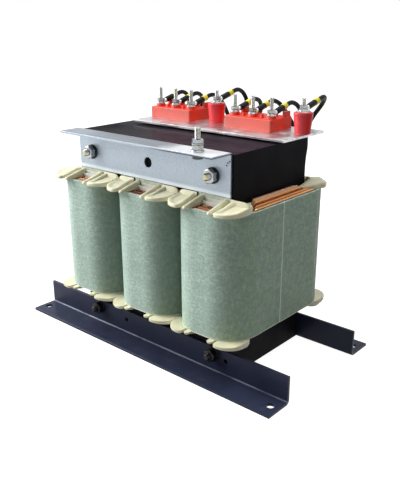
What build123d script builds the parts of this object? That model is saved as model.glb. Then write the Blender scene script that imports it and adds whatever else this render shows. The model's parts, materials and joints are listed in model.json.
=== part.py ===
from build123d import *
import os
from math import cos, radians, sin, tan

os.makedirs("parts", exist_ok=True)

# Three-phase dry-type transformer on two steel rails, in millimetres.
# The origin is the centre of the four base holes, level with the underside of the rails.
# +X runs along the row of coils, +Y to the back, where the terminals stand, and +Z up.

# Laminated core
limb_width = 58.0
limb_pitch = 117.0
stack_depth = 160.0
yoke_height = 58.0
window_height = 188.0
core_lift = 3.0

# Base rails, bent from plate
rail_length = 480.0
rail_plate = 4.0
rail_leg = 40.0
rail_flange = 44.0
rail_heel_radius = 6.0
rail_bend_radius = 2.0
rail_edge_radius = 0.8
base_hole_diameter = 11.0
base_hole_inset = 12.0
spare_hole_diameter = 6.5
spare_hole_offsets = (-57.0, 139.0)
spare_hole_height = 25.0

# Upper clamps, folded from sheet
clamp_sheet = 3.0
clamp_length = 286.0
clamp_leg = 57.0
clamp_flange = 38.0
clamp_heel_radius = 4.0
clamp_bend_radius = 1.0
clamp_rise = 3.0
clamp_window_diameter = 14.0

# Through bolts
bolt_diameter = 10.0
bolt_clearance = 0.5
bolt_end = 6.0
bolt_end_radius = 0.8
nut_across_flats = 17.0
nut_height = 8.0
washer_diameter = 21.0
washer_thickness = 2.0
rail_bolt_height = 29.0
clamp_bolt_spacing = 230.0

# Coils, measured outwards from the former
former_wall = 2.5
former_clearance = 0.5
former_corner_radius = 6.0
coil_build_side = 26.0
coil_build_front = 28.0
wrap_corner_radius = 46.0
layer_gap = 0.3
duct_gap = 0.8
conductor_depth = 4.5
barrier_wall = 2.0
wrap_top_margin = 10.0
former_top_margin = 8.0
former_lip_margin = 0.5
wrap_bottom_margin = 7.0
winding_recess = 2.0
barrier_recess = 1.0

# End spacers at each corner of a coil
leaf_thickness = 4.0
leaf_inner_offset = 28.0
leaf_tip_overhang = 10.0
leaf_side_margin = 0.3
leaf_corner_radius = 24.0
leaf_tip_radius = 5.0
leaf_rear_radius = 12.0
leaf_rear_reach = 31.0
finger_offset = 20.0
finger_radius = 4.0
finger_tip_overhang = 8.0
finger_rise = 8.0
spacer_clearance = 0.4

# Terminal plate, blocks and studs
plate_length = 281.0
plate_depth = 100.0
plate_thickness = 3.0
plate_offset = 16.5
plate_front = 8.0
plate_corner_radius = 3.0
plate_bolt_diameter = 8.0
plate_bolt_margin = 14.5
block_length = 82.0
block_depth = 52.0
block_height = 16.5
block_front = 46.0
block_left = -81.0
block_right = 68.0
block_corner_radius = 2.5
block_edge_radius = 1.2
stud_diameter = 6.0
stud_clearance = 0.2
stud_pitch = 32.0
stud_inset = 13.5
stud_reach = 25.0
stud_chamfer = 0.8
pad_diameter = 14.0
pad_height = 4.0
peg_diameter = 5.0
peg_height = 4.5
barrier_post_width = 6.0
barrier_post_depth = 15.0
barrier_post_height = 7.5
stud_nut_flats = 10.0
stud_nut_height = 5.0
stud_washer_diameter = 13.0
stud_washer_thickness = 1.6

# Stand-off insulators of the neutral points
insulator_places = ((-7.0, 70.0), (145.0, 70.0))
insulator_height = 28.5
insulator_base_diameter = 21.5
insulator_top_diameter = 26.5
insulator_lip = 3.0
insulator_edge_radius = 1.5
insulator_stud_reach = 17.0
insulator_washer_diameter = 20.0

# Earth stud on the front clamp
earth_stud_diameter = 8.0
earth_stud_inset = 37.0
earth_stud_overhang = 21.0
earth_stud_reach = 29.0
earth_stud_end_radius = 0.8
earth_nut_flats = 13.0
earth_nut_height = 6.5
earth_washer_diameter = 17.0
earth_washer_thickness = 1.6

# Winding leads
lug_thickness = 1.5
lug_diameter = 13.0
lug_hole_clearance = 0.4
lug_barrel_diameter = 6.4
lug_barrel_start = 8.0
lug_barrel_lift = 3.4
lug_barrel_length = 5.0
lug_tilt = 15.0
sleeve_diameter = 8.6
sleeve_length = 15.0
marker_diameter = 9.2
marker_length = 8.0
lead_diameter = 6.5
lead_share = 0.45

# Derived places
core_half_depth = stack_depth / 2
core_half_length = limb_pitch + limb_width / 2
lower_yoke_top = core_lift + yoke_height
window_top = lower_yoke_top + window_height
core_top = window_top + yoke_height
coil_places = {"left": -limb_pitch, "middle": 0.0, "right": limb_pitch}

clamp_top = core_top + clamp_rise
clamp_bottom = clamp_top - clamp_leg
clamp_bolt_height = window_top + yoke_height / 2
earth_stud_place = (clamp_length / 2 - earth_stud_inset, -(core_half_depth + earth_stud_overhang))
bolt_hole_diameter = bolt_diameter + 2 * bolt_clearance
rail_bolt_places = [(-limb_pitch, rail_bolt_height), (limb_pitch, rail_bolt_height)]
clamp_bolt_places = [(side * clamp_bolt_spacing / 2, clamp_bolt_height) for side in (-1, 1)]

base_hole_x = rail_length / 2 - base_hole_inset
base_hole_y = core_half_depth + rail_plate + (rail_flange - rail_plate) / 2

former_half_x = limb_width / 2 + former_clearance + former_wall
former_half_y = core_half_depth + former_clearance + former_wall
former_top = window_top - former_top_margin
lip_top = clamp_bottom - former_lip_margin
wrap_bottom = lower_yoke_top + wrap_bottom_margin
wrap_top = window_top - wrap_top_margin
wrap_height = wrap_top - wrap_bottom
coil_middle = (wrap_bottom + wrap_top) / 2
winding_bottom = wrap_bottom + winding_recess
winding_top = wrap_top - winding_recess
winding_height = winding_top - winding_bottom
wrap_half_y = former_half_y + coil_build_front

inner_layers = [
    (layer_gap, layer_gap + conductor_depth),
    (layer_gap + conductor_depth + duct_gap, layer_gap + 2 * conductor_depth + duct_gap),
]
barrier_start = inner_layers[-1][1] + layer_gap
barrier_end = barrier_start + barrier_wall
outer_layers = [
    (barrier_end + layer_gap, barrier_end + layer_gap + conductor_depth),
    (
        barrier_end + layer_gap + conductor_depth + duct_gap,
        barrier_end + layer_gap + 2 * conductor_depth + duct_gap,
    ),
]
wrap_start = outer_layers[-1][1] + layer_gap

plate_bottom = clamp_top
plate_top = plate_bottom + plate_thickness
plate_rear = plate_front + plate_depth
plate_bolt_y = (core_half_depth + clamp_sheet + plate_rear) / 2
block_top = plate_top + block_height
pad_top = block_top + pad_height
stud_y = block_front + stud_inset
insulator_top = plate_top + insulator_height
insulator_seat = insulator_top + stud_washer_thickness
block_studs = {
    "left": [block_left + k * stud_pitch for k in (-1, 0, 1)],
    "right": [block_right + k * stud_pitch for k in (-1, 0, 1)],
}


def finish(node, label):
    node.part.label = label
    export_step(node.part, f"parts/{label}.step")


def coil_outline(distance):
    """Half sizes and corner radius of the coil at a distance out from its former."""
    share = distance / coil_build_side
    radius = former_corner_radius + share * (wrap_corner_radius - former_corner_radius)
    return former_half_x + distance, former_half_y + share * coil_build_front, radius


def coil_layer(x, inner, outer, bottom):
    """The section of one closed layer of a coil, between two distances from the former."""
    outer_x, outer_y, outer_radius = coil_outline(outer)
    inner_x, inner_y, inner_radius = coil_outline(inner)
    with BuildSketch(Plane.XY.offset(bottom)) as layer:
        with Locations((x, 0)):
            RectangleRounded(2 * outer_x, 2 * outer_y, outer_radius)
            RectangleRounded(2 * inner_x, 2 * inner_y, inner_radius, mode=Mode.SUBTRACT)
    return layer.sketch


def round_corner(sketch, corner, radius):
    """Round the sketch's corner nearest to a point in its own plane."""
    fillet(sketch.vertices().sort_by_distance(corner)[0], radius)


def hexagon(across_flats):
    RegularPolygon(radius=across_flats / 2, side_count=6, major_radius=False)


# Core: three limbs on the lower yoke, and the upper yoke laid across them
with BuildPart() as core_limbs:
    with BuildSketch(Plane.XZ.offset(-core_half_depth)):
        with Locations((0, (core_lift + window_top) / 2)):
            Rectangle(2 * core_half_length, window_top - core_lift)
        with Locations(
            (-limb_pitch / 2, lower_yoke_top + window_height / 2),
            (limb_pitch / 2, lower_yoke_top + window_height / 2),
        ):
            Rectangle(limb_pitch - limb_width, window_height, mode=Mode.SUBTRACT)
        with Locations(*rail_bolt_places):
            Circle(bolt_hole_diameter / 2, mode=Mode.SUBTRACT)
    extrude(amount=stack_depth)
finish(core_limbs, "core_limbs")

with BuildPart() as core_upper_yoke:
    with BuildSketch(Plane.XZ.offset(-core_half_depth)):
        with Locations((0, window_top + yoke_height / 2)):
            Rectangle(2 * core_half_length, yoke_height)
        with Locations(*clamp_bolt_places):
            Circle(bolt_hole_diameter / 2, mode=Mode.SUBTRACT)
    extrude(amount=stack_depth)
finish(core_upper_yoke, "core_upper_yoke")


# Base rails: the same bent angle on both sides, turned half round
def make_rail(side):
    inner = side * core_half_depth
    face = side * (core_half_depth + rail_plate)
    tip = side * (core_half_depth + rail_flange)
    with BuildPart() as rail:
        with BuildSketch(Plane.YZ) as section:
            with BuildLine():
                Polyline(
                    (inner, 0),
                    (tip, 0),
                    (tip, rail_plate),
                    (face, rail_plate),
                    (face, rail_leg),
                    (inner, rail_leg),
                    close=True,
                )
            make_face()
            round_corner(section, (inner, 0), rail_heel_radius)
            round_corner(section, (face, rail_plate), rail_bend_radius)
            round_corner(section, (tip, rail_plate), rail_edge_radius)
            round_corner(section, (face, rail_leg), rail_edge_radius)
        extrude(amount=rail_length / 2, both=True)
        with BuildSketch(Plane.XY):
            with Locations((-base_hole_x, side * base_hole_y), (base_hole_x, side * base_hole_y)):
                Circle(base_hole_diameter / 2)
        extrude(amount=rail_plate, mode=Mode.SUBTRACT)
        with BuildSketch(Plane.XZ.offset(-face)):
            with Locations(*rail_bolt_places):
                Circle(bolt_hole_diameter / 2)
            with Locations(*[(-side * x, spare_hole_height) for x in spare_hole_offsets]):
                Circle(spare_hole_diameter / 2)
        extrude(amount=side * rail_plate, mode=Mode.SUBTRACT)
    return rail


front_rail = make_rail(-1)
finish(front_rail, "front_rail")
rear_rail = make_rail(1)
finish(rear_rail, "rear_rail")


# Upper clamps: folded angles with the flange outwards at the top
def make_clamp(side, flange_holes):
    inner = side * core_half_depth
    face = side * (core_half_depth + clamp_sheet)
    tip = side * (core_half_depth + clamp_flange)
    with BuildPart() as clamp:
        with BuildSketch(Plane.YZ) as section:
            with BuildLine():
                Polyline(
                    (inner, clamp_bottom),
                    (face, clamp_bottom),
                    (face, clamp_top - clamp_sheet),
                    (tip, clamp_top - clamp_sheet),
                    (tip, clamp_top),
                    (inner, clamp_top),
                    close=True,
                )
            make_face()
            round_corner(section, (inner, clamp_top), clamp_heel_radius)
            round_corner(section, (face, clamp_top - clamp_sheet), clamp_bend_radius)
        extrude(amount=clamp_length / 2, both=True)
        with BuildSketch(Plane.XZ.offset(-face)):
            with Locations(*clamp_bolt_places):
                Circle(bolt_hole_diameter / 2)
            with Locations((0, clamp_bolt_height)):
                Circle(clamp_window_diameter / 2)
        extrude(amount=side * clamp_sheet, mode=Mode.SUBTRACT)
        with BuildSketch(Plane.XY.offset(clamp_top)):
            for place, diameter in flange_holes:
                with Locations(place):
                    Circle(diameter / 2)
        extrude(amount=-clamp_sheet, mode=Mode.SUBTRACT)
    return clamp


earth_hole = [(earth_stud_place, earth_stud_diameter + 2 * bolt_clearance)]
plate_bolt_xs = ((block_left + block_right) / 2, block_right + block_length / 2 + plate_bolt_margin)
plate_bolt_places = [(x, plate_bolt_y) for x in plate_bolt_xs]
plate_bolt_holes = [(place, plate_bolt_diameter + 2 * bolt_clearance) for place in plate_bolt_places]

front_clamp = make_clamp(-1, earth_hole)
finish(front_clamp, "front_clamp")
rear_clamp = make_clamp(1, plate_bolt_holes)
finish(rear_clamp, "rear_clamp")


# Through bolts with a washer and nut seated on each outer face
def make_through_bolts(places, seat):
    with BuildPart() as bolts:
        end = seat + washer_thickness + nut_height + bolt_end
        with BuildSketch(Plane.XZ):
            with Locations(*places):
                Circle(bolt_diameter / 2)
        extrude(amount=end, both=True)
        for side in (-1, 1):
            with BuildSketch(Plane.XZ.offset(-side * seat)):
                with Locations(*places):
                    Circle(washer_diameter / 2)
            extrude(amount=-side * washer_thickness)
            with BuildSketch(Plane.XZ.offset(-side * (seat + washer_thickness))):
                with Locations(*places):
                    hexagon(nut_across_flats)
            extrude(amount=-side * nut_height)
        ends = bolts.faces().filter_by(Axis.Y).group_by(Axis.Y)
        fillet((ends[0] + ends[-1]).edges(), bolt_end_radius)
    return bolts


rail_bolts = make_through_bolts(rail_bolt_places, core_half_depth + rail_plate)
finish(rail_bolts, "rail_bolts")
clamp_bolts = make_through_bolts(clamp_bolt_places, core_half_depth + clamp_sheet)
finish(clamp_bolts, "clamp_bolts")

# Earth stud: a bolt from below the front clamp's flange, with washers and two nuts above
with BuildPart() as earth_stud:
    under = clamp_top - clamp_sheet
    washer_top = clamp_top + earth_washer_thickness
    with BuildSketch(Plane.XY.offset(under)):
        with Locations(earth_stud_place):
            hexagon(earth_nut_flats)
    extrude(amount=-earth_nut_height)
    with BuildSketch(Plane.XY.offset(under)):
        with Locations(earth_stud_place):
            Circle(earth_stud_diameter / 2)
    extrude(amount=clamp_sheet + earth_stud_reach)
    with BuildSketch(Plane.XY.offset(clamp_top)):
        with Locations(earth_stud_place):
            Circle(earth_washer_diameter / 2)
    extrude(amount=earth_washer_thickness)
    with BuildSketch(Plane.XY.offset(washer_top)):
        with Locations(earth_stud_place):
            hexagon(earth_nut_flats)
    extrude(amount=earth_nut_height)
    with BuildSketch(Plane.XY.offset(washer_top + earth_nut_height)):
        with Locations(earth_stud_place):
            Circle(earth_washer_diameter / 2)
    extrude(amount=earth_washer_thickness)
    fillet(earth_stud.faces().sort_by(Axis.Z)[-1].edges(), earth_stud_end_radius)
finish(earth_stud, "earth_stud")

# Coils: former with a lip in front of and behind the yoke, two windings of nested layers,
# the barrier between them and the wrap
for place, x in coil_places.items():
    with BuildPart() as former:
        with BuildSketch(Plane.XY.offset(lower_yoke_top)):
            with Locations((x, 0)):
                RectangleRounded(2 * former_half_x, 2 * former_half_y, former_corner_radius)
                Rectangle(
                    limb_width + 2 * former_clearance,
                    stack_depth + 2 * former_clearance,
                    mode=Mode.SUBTRACT,
                )
        extrude(amount=former_top - lower_yoke_top)
        with BuildSketch(Plane.XY.offset(former_top)):
            with Locations(*[(x, side * (former_half_y - former_wall / 2)) for side in (-1, 1)]):
                Rectangle(2 * (former_half_x - former_corner_radius), former_wall)
        extrude(amount=lip_top - former_top)
    finish(former, f"coil_{place}_former")

    with BuildPart() as inner_winding:
        for inner, outer in inner_layers:
            extrude(coil_layer(x, inner, outer, winding_bottom), amount=winding_height)
    finish(inner_winding, f"coil_{place}_inner_winding")

    with BuildPart() as barrier:
        section = coil_layer(x, barrier_start, barrier_end, wrap_bottom + barrier_recess)
        extrude(section, amount=wrap_height - 2 * barrier_recess)
    finish(barrier, f"coil_{place}_barrier")

    with BuildPart() as outer_winding:
        for inner, outer in outer_layers:
            extrude(coil_layer(x, inner, outer, winding_bottom), amount=winding_height)
    finish(outer_winding, f"coil_{place}_outer_winding")

    with BuildPart() as wrap:
        extrude(coil_layer(x, wrap_start, coil_build_side, wrap_bottom), amount=wrap_height)
    finish(wrap, f"coil_{place}_wrap")


# End spacers: a rounded leaf over each corner, a rising rib on it and a loose finger beside it
def rib(x, back):
    """A half-round rib that rises from its round tip to the former."""
    tip_y = -(wrap_half_y + finger_tip_overhang - finger_radius)
    run = -back - tip_y
    axis = Plane(origin=(x, tip_y, wrap_top), x_dir=(1, 0, 0), z_dir=(0, run, finger_rise))
    with Locations(axis.location):
        Cylinder(finger_radius, run + finger_rise, align=(Align.CENTER, Align.CENTER, Align.MIN))
    with Locations((x, tip_y, wrap_top)):
        Sphere(finger_radius)


def make_top_spacers(x):
    back = former_half_y + spacer_clearance
    leaf_side = limb_pitch / 2 - leaf_side_margin
    leaf_tip = wrap_half_y + leaf_tip_overhang
    leaf_rear = back - leaf_rear_reach
    leaf_root = former_half_x + spacer_clearance
    with BuildPart() as spacers:
        rib(x + finger_offset, back)
        rib(x + leaf_inner_offset + finger_radius, back)
        split(bisect_by=Plane.XY.offset(wrap_top), keep=Keep.TOP)
        split(bisect_by=Plane.XZ.offset(back), keep=Keep.TOP)
        with BuildSketch(Plane.XY.offset(wrap_top)) as leaf:
            with BuildLine():
                Polyline(
                    (x + leaf_inner_offset, -back),
                    (x + leaf_inner_offset, -leaf_tip),
                    (x + leaf_side, -leaf_tip),
                    (x + leaf_side, -leaf_rear),
                    (x + leaf_root, -leaf_rear),
                    (x + leaf_root, -back),
                    close=True,
                )
            make_face()
            round_corner(leaf, (x + leaf_inner_offset, -leaf_tip), leaf_tip_radius)
            round_corner(leaf, (x + leaf_side, -leaf_tip), leaf_corner_radius)
            round_corner(leaf, (x + leaf_side, -leaf_rear), leaf_rear_radius)
        extrude(amount=leaf_thickness)
        mirror(about=Plane.YZ.offset(x))
        mirror(about=Plane.XZ)
    return spacers


for place, x in coil_places.items():
    top_spacers = make_top_spacers(x)
    finish(top_spacers, f"coil_{place}_top_spacers")
    with BuildPart() as bottom_spacers:
        mirror(top_spacers.part, about=Plane.XY.offset(coil_middle))
    finish(bottom_spacers, f"coil_{place}_bottom_spacers")

# Terminal plate on the rear clamp's flange
with BuildPart() as terminal_plate:
    with BuildSketch(Plane.XY.offset(plate_bottom)):
        with Locations((plate_offset, plate_front + plate_depth / 2)):
            RectangleRounded(plate_length, plate_depth, plate_corner_radius)
        with Locations(*plate_bolt_places):
            Circle(plate_bolt_diameter / 2 + bolt_clearance, mode=Mode.SUBTRACT)
    extrude(amount=plate_thickness)
finish(terminal_plate, "terminal_plate")

with BuildPart() as plate_bolts:
    bolt_low = clamp_top - clamp_sheet
    for place in plate_bolt_places:
        with BuildSketch(Plane.XY.offset(bolt_low - earth_nut_height)):
            with Locations(place):
                hexagon(earth_nut_flats)
        extrude(amount=earth_nut_height)
        with BuildSketch(Plane.XY.offset(bolt_low)):
            with Locations(place):
                Circle(plate_bolt_diameter / 2)
        extrude(amount=clamp_sheet + plate_thickness)
        with BuildSketch(Plane.XY.offset(plate_top)):
            with Locations(place):
                hexagon(earth_nut_flats)
        extrude(amount=earth_nut_height)
finish(plate_bolts, "plate_bolts")


# Terminal blocks: a moulded base with a pad for each stud, pegs between them and
# barrier posts behind, which leave a channel for each lead
def make_block(x):
    with BuildPart() as block:
        with BuildSketch(Plane.XY.offset(plate_top)):
            with Locations((x, block_front + block_depth / 2)):
                RectangleRounded(block_length, block_depth, block_corner_radius)
        extrude(amount=block_height)
        fillet(block.faces().sort_by(Axis.Z)[-1].edges(), block_edge_radius)
        stud_places = [(x + k * stud_pitch, stud_y) for k in (-1, 0, 1)]
        with BuildSketch(Plane.XY.offset(block_top)):
            with Locations(*stud_places):
                Circle(pad_diameter / 2)
        extrude(amount=pad_height)
        with BuildSketch(Plane.XY.offset(block_top)):
            with Locations(*[(x + k * stud_pitch, stud_y) for k in (-0.5, 0.5)]):
                Circle(peg_diameter / 2)
        extrude(amount=peg_height)
        post_edge = block_length / 2 - barrier_post_width / 2 - block_edge_radius
        post_y = block_front + block_depth - barrier_post_depth / 2 - block_edge_radius
        post_places = [x - post_edge, x - stud_pitch / 2, x + stud_pitch / 2, x + post_edge]
        with BuildSketch(Plane.XY.offset(block_top)):
            with Locations(*[(place, post_y) for place in post_places]):
                SlotOverall(barrier_post_depth, barrier_post_width, rotation=90)
        extrude(amount=barrier_post_height)
        with BuildSketch(Plane.XY.offset(plate_top)):
            with Locations(*stud_places):
                Circle(stud_diameter / 2 + stud_clearance)
        extrude(amount=block_height + pad_height, mode=Mode.SUBTRACT)
    return block


def make_studs(places, foot, seat, reach):
    """Studs with a washer and nut clamped over the lug that lies on the seat."""
    with BuildPart() as studs:
        with BuildSketch(Plane.XY.offset(foot)):
            with Locations(*places):
                Circle(stud_diameter / 2)
        extrude(amount=seat + reach - foot)
        tips = studs.faces().filter_by(Axis.Z).group_by(Axis.Z)[-1]
        chamfer(tips.edges(), stud_chamfer)
        washer_bottom = seat + lug_thickness
        with BuildSketch(Plane.XY.offset(washer_bottom)):
            with Locations(*places):
                Circle(stud_washer_diameter / 2)
        extrude(amount=stud_washer_thickness)
        with BuildSketch(Plane.XY.offset(washer_bottom + stud_washer_thickness)):
            with Locations(*places):
                hexagon(stud_nut_flats)
        extrude(amount=stud_nut_height)
    return studs.part


terminal_block_left = make_block(block_left)
finish(terminal_block_left, "terminal_block_left")
terminal_block_right = make_block(block_right)
finish(terminal_block_right, "terminal_block_right")

for place, stud_xs in block_studs.items():
    with BuildPart() as terminal_studs:
        add(make_studs([(x, stud_y) for x in stud_xs], plate_top, pad_top, stud_reach))
    finish(terminal_studs, f"terminal_studs_{place}")

# Neutral insulators: plain cones, wider at the top, each with a stud
with BuildPart() as neutral_insulators:
    for place_x, place_y in insulator_places:
        with BuildSketch(Plane(origin=(place_x, place_y, plate_top), x_dir=(1, 0, 0), z_dir=(0, -1, 0))):
            with BuildLine():
                Polyline(
                    (stud_diameter / 2 + stud_clearance, 0),
                    (insulator_base_diameter / 2, 0),
                    (insulator_top_diameter / 2, insulator_height - insulator_lip),
                    (insulator_top_diameter / 2, insulator_height),
                    (stud_diameter / 2 + stud_clearance, insulator_height),
                    close=True,
                )
            make_face()
        revolve(axis=Axis((place_x, place_y, plate_top), (0, 0, 1)))
    rims = neutral_insulators.faces().filter_by(Axis.Z).group_by(Axis.Z)[-1]
    outer_rims = rims.edges().group_by(SortBy.RADIUS)[-1]
    fillet(outer_rims, insulator_edge_radius)
finish(neutral_insulators, "neutral_insulators")

with BuildPart() as neutral_studs:
    add(make_studs(insulator_places, plate_top, insulator_seat, insulator_stud_reach))
    with BuildSketch(Plane.XY.offset(insulator_top)):
        with Locations(*insulator_places):
            Circle(insulator_washer_diameter / 2)
    extrude(amount=stud_washer_thickness)
finish(neutral_studs, "neutral_studs")

# Leads: each runs back from its lug, over the edge of the plate and down to the coils.
# The first point is where the lead leaves its marker, the last is on a winding's end.
lug_rise = radians(lug_tilt)


def along_lug(stud_x, y, seat, distance):
    """A point on the axis of the lug's barrel, a distance along it from its start."""
    start_y = y + lug_barrel_start
    start_z = seat + lug_barrel_lift
    return (stud_x, start_y + distance * cos(lug_rise), start_z + distance * sin(lug_rise))


lead_start = lug_barrel_length + sleeve_length + marker_length
lug_seats = [(x, stud_y, pad_top) for x in block_studs["left"] + block_studs["right"]]
lug_seats += [(x, y, insulator_seat) for x, y in insulator_places]

phase_routes = [
    [(-113, 108, 348), (-114, 121.2, 343), (-116, 129.8, 331.5), (-123, 129.8, 290), (-125, 104, 265)],
    [(-81, 108, 348), (-82, 121.2, 343), (-86, 129.8, 331.5), (-104, 129.8, 290), (-109, 104, 265)],
    [(-49, 108, 348), (-47.5, 121.2, 343), (-43, 129.8, 331.5), (-19, 129.8, 290), (-12, 104, 265)],
    [(36, 108, 348), (35, 121.2, 343), (32, 129.8, 331.5), (16, 129.8, 290), (12, 104, 265)],
    [(68, 108, 348), (69.5, 121.2, 343), (75, 129.8, 331.5), (105, 129.8, 292), (115.5, 104, 266)],
    [(100, 108, 348), (101, 121.2, 343), (104, 129.8, 331.5), (115, 129.8, 292), (127, 104, 266)],
]
neutral_routes = [
    [(-7, 119.5, 357.5), (-7, 133, 352.4), (-5, 141, 340), (-1, 141, 290), (0, 104, 266)],
    [(145, 119.5, 357.5), (139.5, 133, 353.6), (130.5, 141, 343.5), (112, 142, 320), (101, 141, 291),
     (105, 104, 266)],
]


def lead_points(seat, route):
    x, y, z = seat
    start = along_lug(x, y, z, lead_start)
    run = route[0][1] - start[1]
    first = (x, route[0][1], start[2] + run * tan(lug_rise))
    landing_x, landing_y, _ = route[-1]
    return [start, first, *route[1:], (landing_x, landing_y, winding_top)]


def bend_radii(points):
    radii = []
    for before, corner, after in zip(points, points[1:], points[2:]):
        run_in = Vector(*corner) - Vector(*before)
        run_out = Vector(*after) - Vector(*corner)
        half_turn = radians(run_in.get_angle(run_out)) / 2
        radii.append(lead_share * min(run_in.length, run_out.length) / tan(half_turn))
    return radii


def make_leads(seats, routes):
    with BuildPart() as leads:
        for seat, route in zip(seats, routes):
            points = lead_points(seat, route)
            radii = bend_radii(points)
            print("lead radii", [round(radius, 1) for radius in radii])
            with BuildLine() as path:
                FilletPolyline(*points, radius=radii)
            with BuildSketch(Plane(origin=path.line @ 0, z_dir=path.line % 0)):
                Circle(lead_diameter / 2)
            sweep(path=path.line)
    return leads


phase_leads = make_leads(lug_seats[:6], phase_routes)
finish(phase_leads, "phase_leads")
neutral_leads = make_leads(lug_seats[6:], neutral_routes)
finish(neutral_leads, "neutral_leads")


def make_collars(start, length, diameter):
    """Round pieces on the axes of all lugs, such as sleeves and marker rings."""
    with BuildPart() as collars:
        for x, y, z in lug_seats:
            plane = Plane(
                origin=along_lug(x, y, z, start),
                x_dir=(1, 0, 0),
                z_dir=(0, cos(lug_rise), sin(lug_rise)),
            )
            with BuildSketch(plane):
                Circle(diameter / 2)
            extrude(amount=length)
    return collars


lead_sleeves = make_collars(lug_barrel_length, sleeve_length, sleeve_diameter)
finish(lead_sleeves, "lead_sleeves")
lead_markers = make_collars(lug_barrel_length + sleeve_length, marker_length, marker_diameter)
finish(lead_markers, "lead_markers")

with BuildPart() as lead_lugs:
    for x, y, z in lug_seats:
        with BuildSketch(Plane.XY.offset(z)):
            with Locations((x, y)):
                Circle(lug_diameter / 2)
            with Locations((x, y + lug_barrel_start / 2)):
                Rectangle(lug_barrel_diameter, lug_barrel_start)
            with Locations((x, y)):
                Circle(stud_diameter / 2 + lug_hole_clearance, mode=Mode.SUBTRACT)
        extrude(amount=lug_thickness)
        barrel_plane = Plane(
            origin=along_lug(x, y, z, 0),
            x_dir=(1, 0, 0),
            z_dir=(0, cos(lug_rise), sin(lug_rise)),
        )
        with BuildSketch(barrel_plane):
            Circle(lug_barrel_diameter / 2)
        extrude(amount=lug_barrel_length)
finish(lead_lugs, "lead_lugs")
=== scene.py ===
import collections
import json
import math
import random

import bmesh
import bpy
from mathutils import Matrix, Vector, geometry, noise


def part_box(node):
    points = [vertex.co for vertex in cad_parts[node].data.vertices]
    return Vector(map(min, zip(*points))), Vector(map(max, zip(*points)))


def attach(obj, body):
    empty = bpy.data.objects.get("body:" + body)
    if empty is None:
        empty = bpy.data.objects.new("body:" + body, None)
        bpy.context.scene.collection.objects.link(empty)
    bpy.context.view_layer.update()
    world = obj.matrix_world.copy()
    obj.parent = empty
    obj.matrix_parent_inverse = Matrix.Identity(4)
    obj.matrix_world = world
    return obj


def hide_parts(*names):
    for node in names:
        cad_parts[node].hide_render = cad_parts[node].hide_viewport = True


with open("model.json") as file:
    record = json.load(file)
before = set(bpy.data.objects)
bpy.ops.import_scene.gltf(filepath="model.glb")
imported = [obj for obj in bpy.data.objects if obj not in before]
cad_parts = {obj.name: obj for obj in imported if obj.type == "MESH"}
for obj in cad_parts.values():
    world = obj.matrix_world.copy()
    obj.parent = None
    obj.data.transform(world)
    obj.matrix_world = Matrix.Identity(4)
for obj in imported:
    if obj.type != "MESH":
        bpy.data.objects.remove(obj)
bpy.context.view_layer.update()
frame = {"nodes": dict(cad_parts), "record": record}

bl_info = {
    "name": "Dry-Type Transformer Dressing",
    "version": (1, 0, 0),
    "blender": (4, 5, 0),
    "location": "View3D > Sidebar > Transformer",
    "description": "Gives a dry-type transformer its finishes, windings, cloth wraps, threads and studio",
    "category": "Object",
}

MM = 0.001
COILS = ("left", "middle", "right")
SLOT_OF = {part["node"]: part["material_slot"] for part in frame["record"]["subparts"]}

# Places that the solids give
FORMER_HALF_X, FORMER_HALF_Y, LIP_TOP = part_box("coil_middle_former")[1]
WRAP_LOW, WRAP_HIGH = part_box("coil_middle_wrap")
WRAP_HALF_X, WRAP_HALF_Y = WRAP_HIGH.x, WRAP_HIGH.y
WINDING_LOW, WINDING_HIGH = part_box("coil_middle_inner_winding")
CLAMP_LOW, CLAMP_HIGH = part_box("front_clamp")
RAIL_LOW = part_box("front_rail")[0]
PLATE_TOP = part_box("terminal_plate")[1].z
COIL_X = {coil: sum(corner.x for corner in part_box(f"coil_{coil}_wrap")) / 2 for coil in COILS}

# The inner fold of a rail: its distance from the core's middle, and its height
RAIL_FOLD = Vector((84 * MM, 4 * MM))

# Small chips in the front clamp's zinc, near its right end
CHIPS = (
    Vector((137.0, -83.0, 293.4)) * MM,
    Vector((138.8, -83.0, 296.9)) * MM,
    Vector((141.6, -83.0, 299.0)) * MM,
)

# Corner radii of the coil at its former and at its wrap
FORMER_RADIUS = 6 * MM
WRAP_RADIUS = 46 * MM

# Bands of turns and the gaps between them, measured out from the former
TURN_BANDS = {
    "inner_winding": ((0.3 * MM, 4.8 * MM), (5.6 * MM, 10.1 * MM)),
    "outer_winding": ((12.7 * MM, 17.2 * MM), (18.0 * MM, 22.5 * MM)),
}

# Studs, seats and leads
BLOCK_STUD_Y = 59.5 * MM
PAD_TOP = 333.5 * MM
CAP_SEAT = 343.1 * MM
BLOCK_STUDS = {
    "left": [(x * MM, BLOCK_STUD_Y) for x in (-113, -81, -49)],
    "right": [(x * MM, BLOCK_STUD_Y) for x in (36, 68, 100)],
}
NEUTRAL_STUDS = [(-7 * MM, 70 * MM), (145 * MM, 70 * MM)]
LUG_SEATS = [(x, y, PAD_TOP) for studs in BLOCK_STUDS.values() for x, y in studs]
LUG_SEATS += [(x, y, CAP_SEAT) for x, y in NEUTRAL_STUDS]
LUG_THICKNESS = 1.5 * MM
LUG_TILT = math.radians(15)
LUG_START = Vector((0, 8 * MM, 3.4 * MM))


def number(name, default, description, **kind):
    return bpy.props.FloatProperty(name=name, description=description, default=default, **kind)


def length(name, default, description, least=0):
    """A length, with its default and its lowest value in millimetres."""
    return number(name, default * MM, description, min=least * MM, unit="LENGTH", precision=5)


def angle(name, default, description):
    return number(name, math.radians(default), description, subtype="ANGLE")


def tint(name, default, description):
    return bpy.props.FloatVectorProperty(
        name=name, description=description, default=default, size=3, min=0, max=1, subtype="COLOR",
    )


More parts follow.
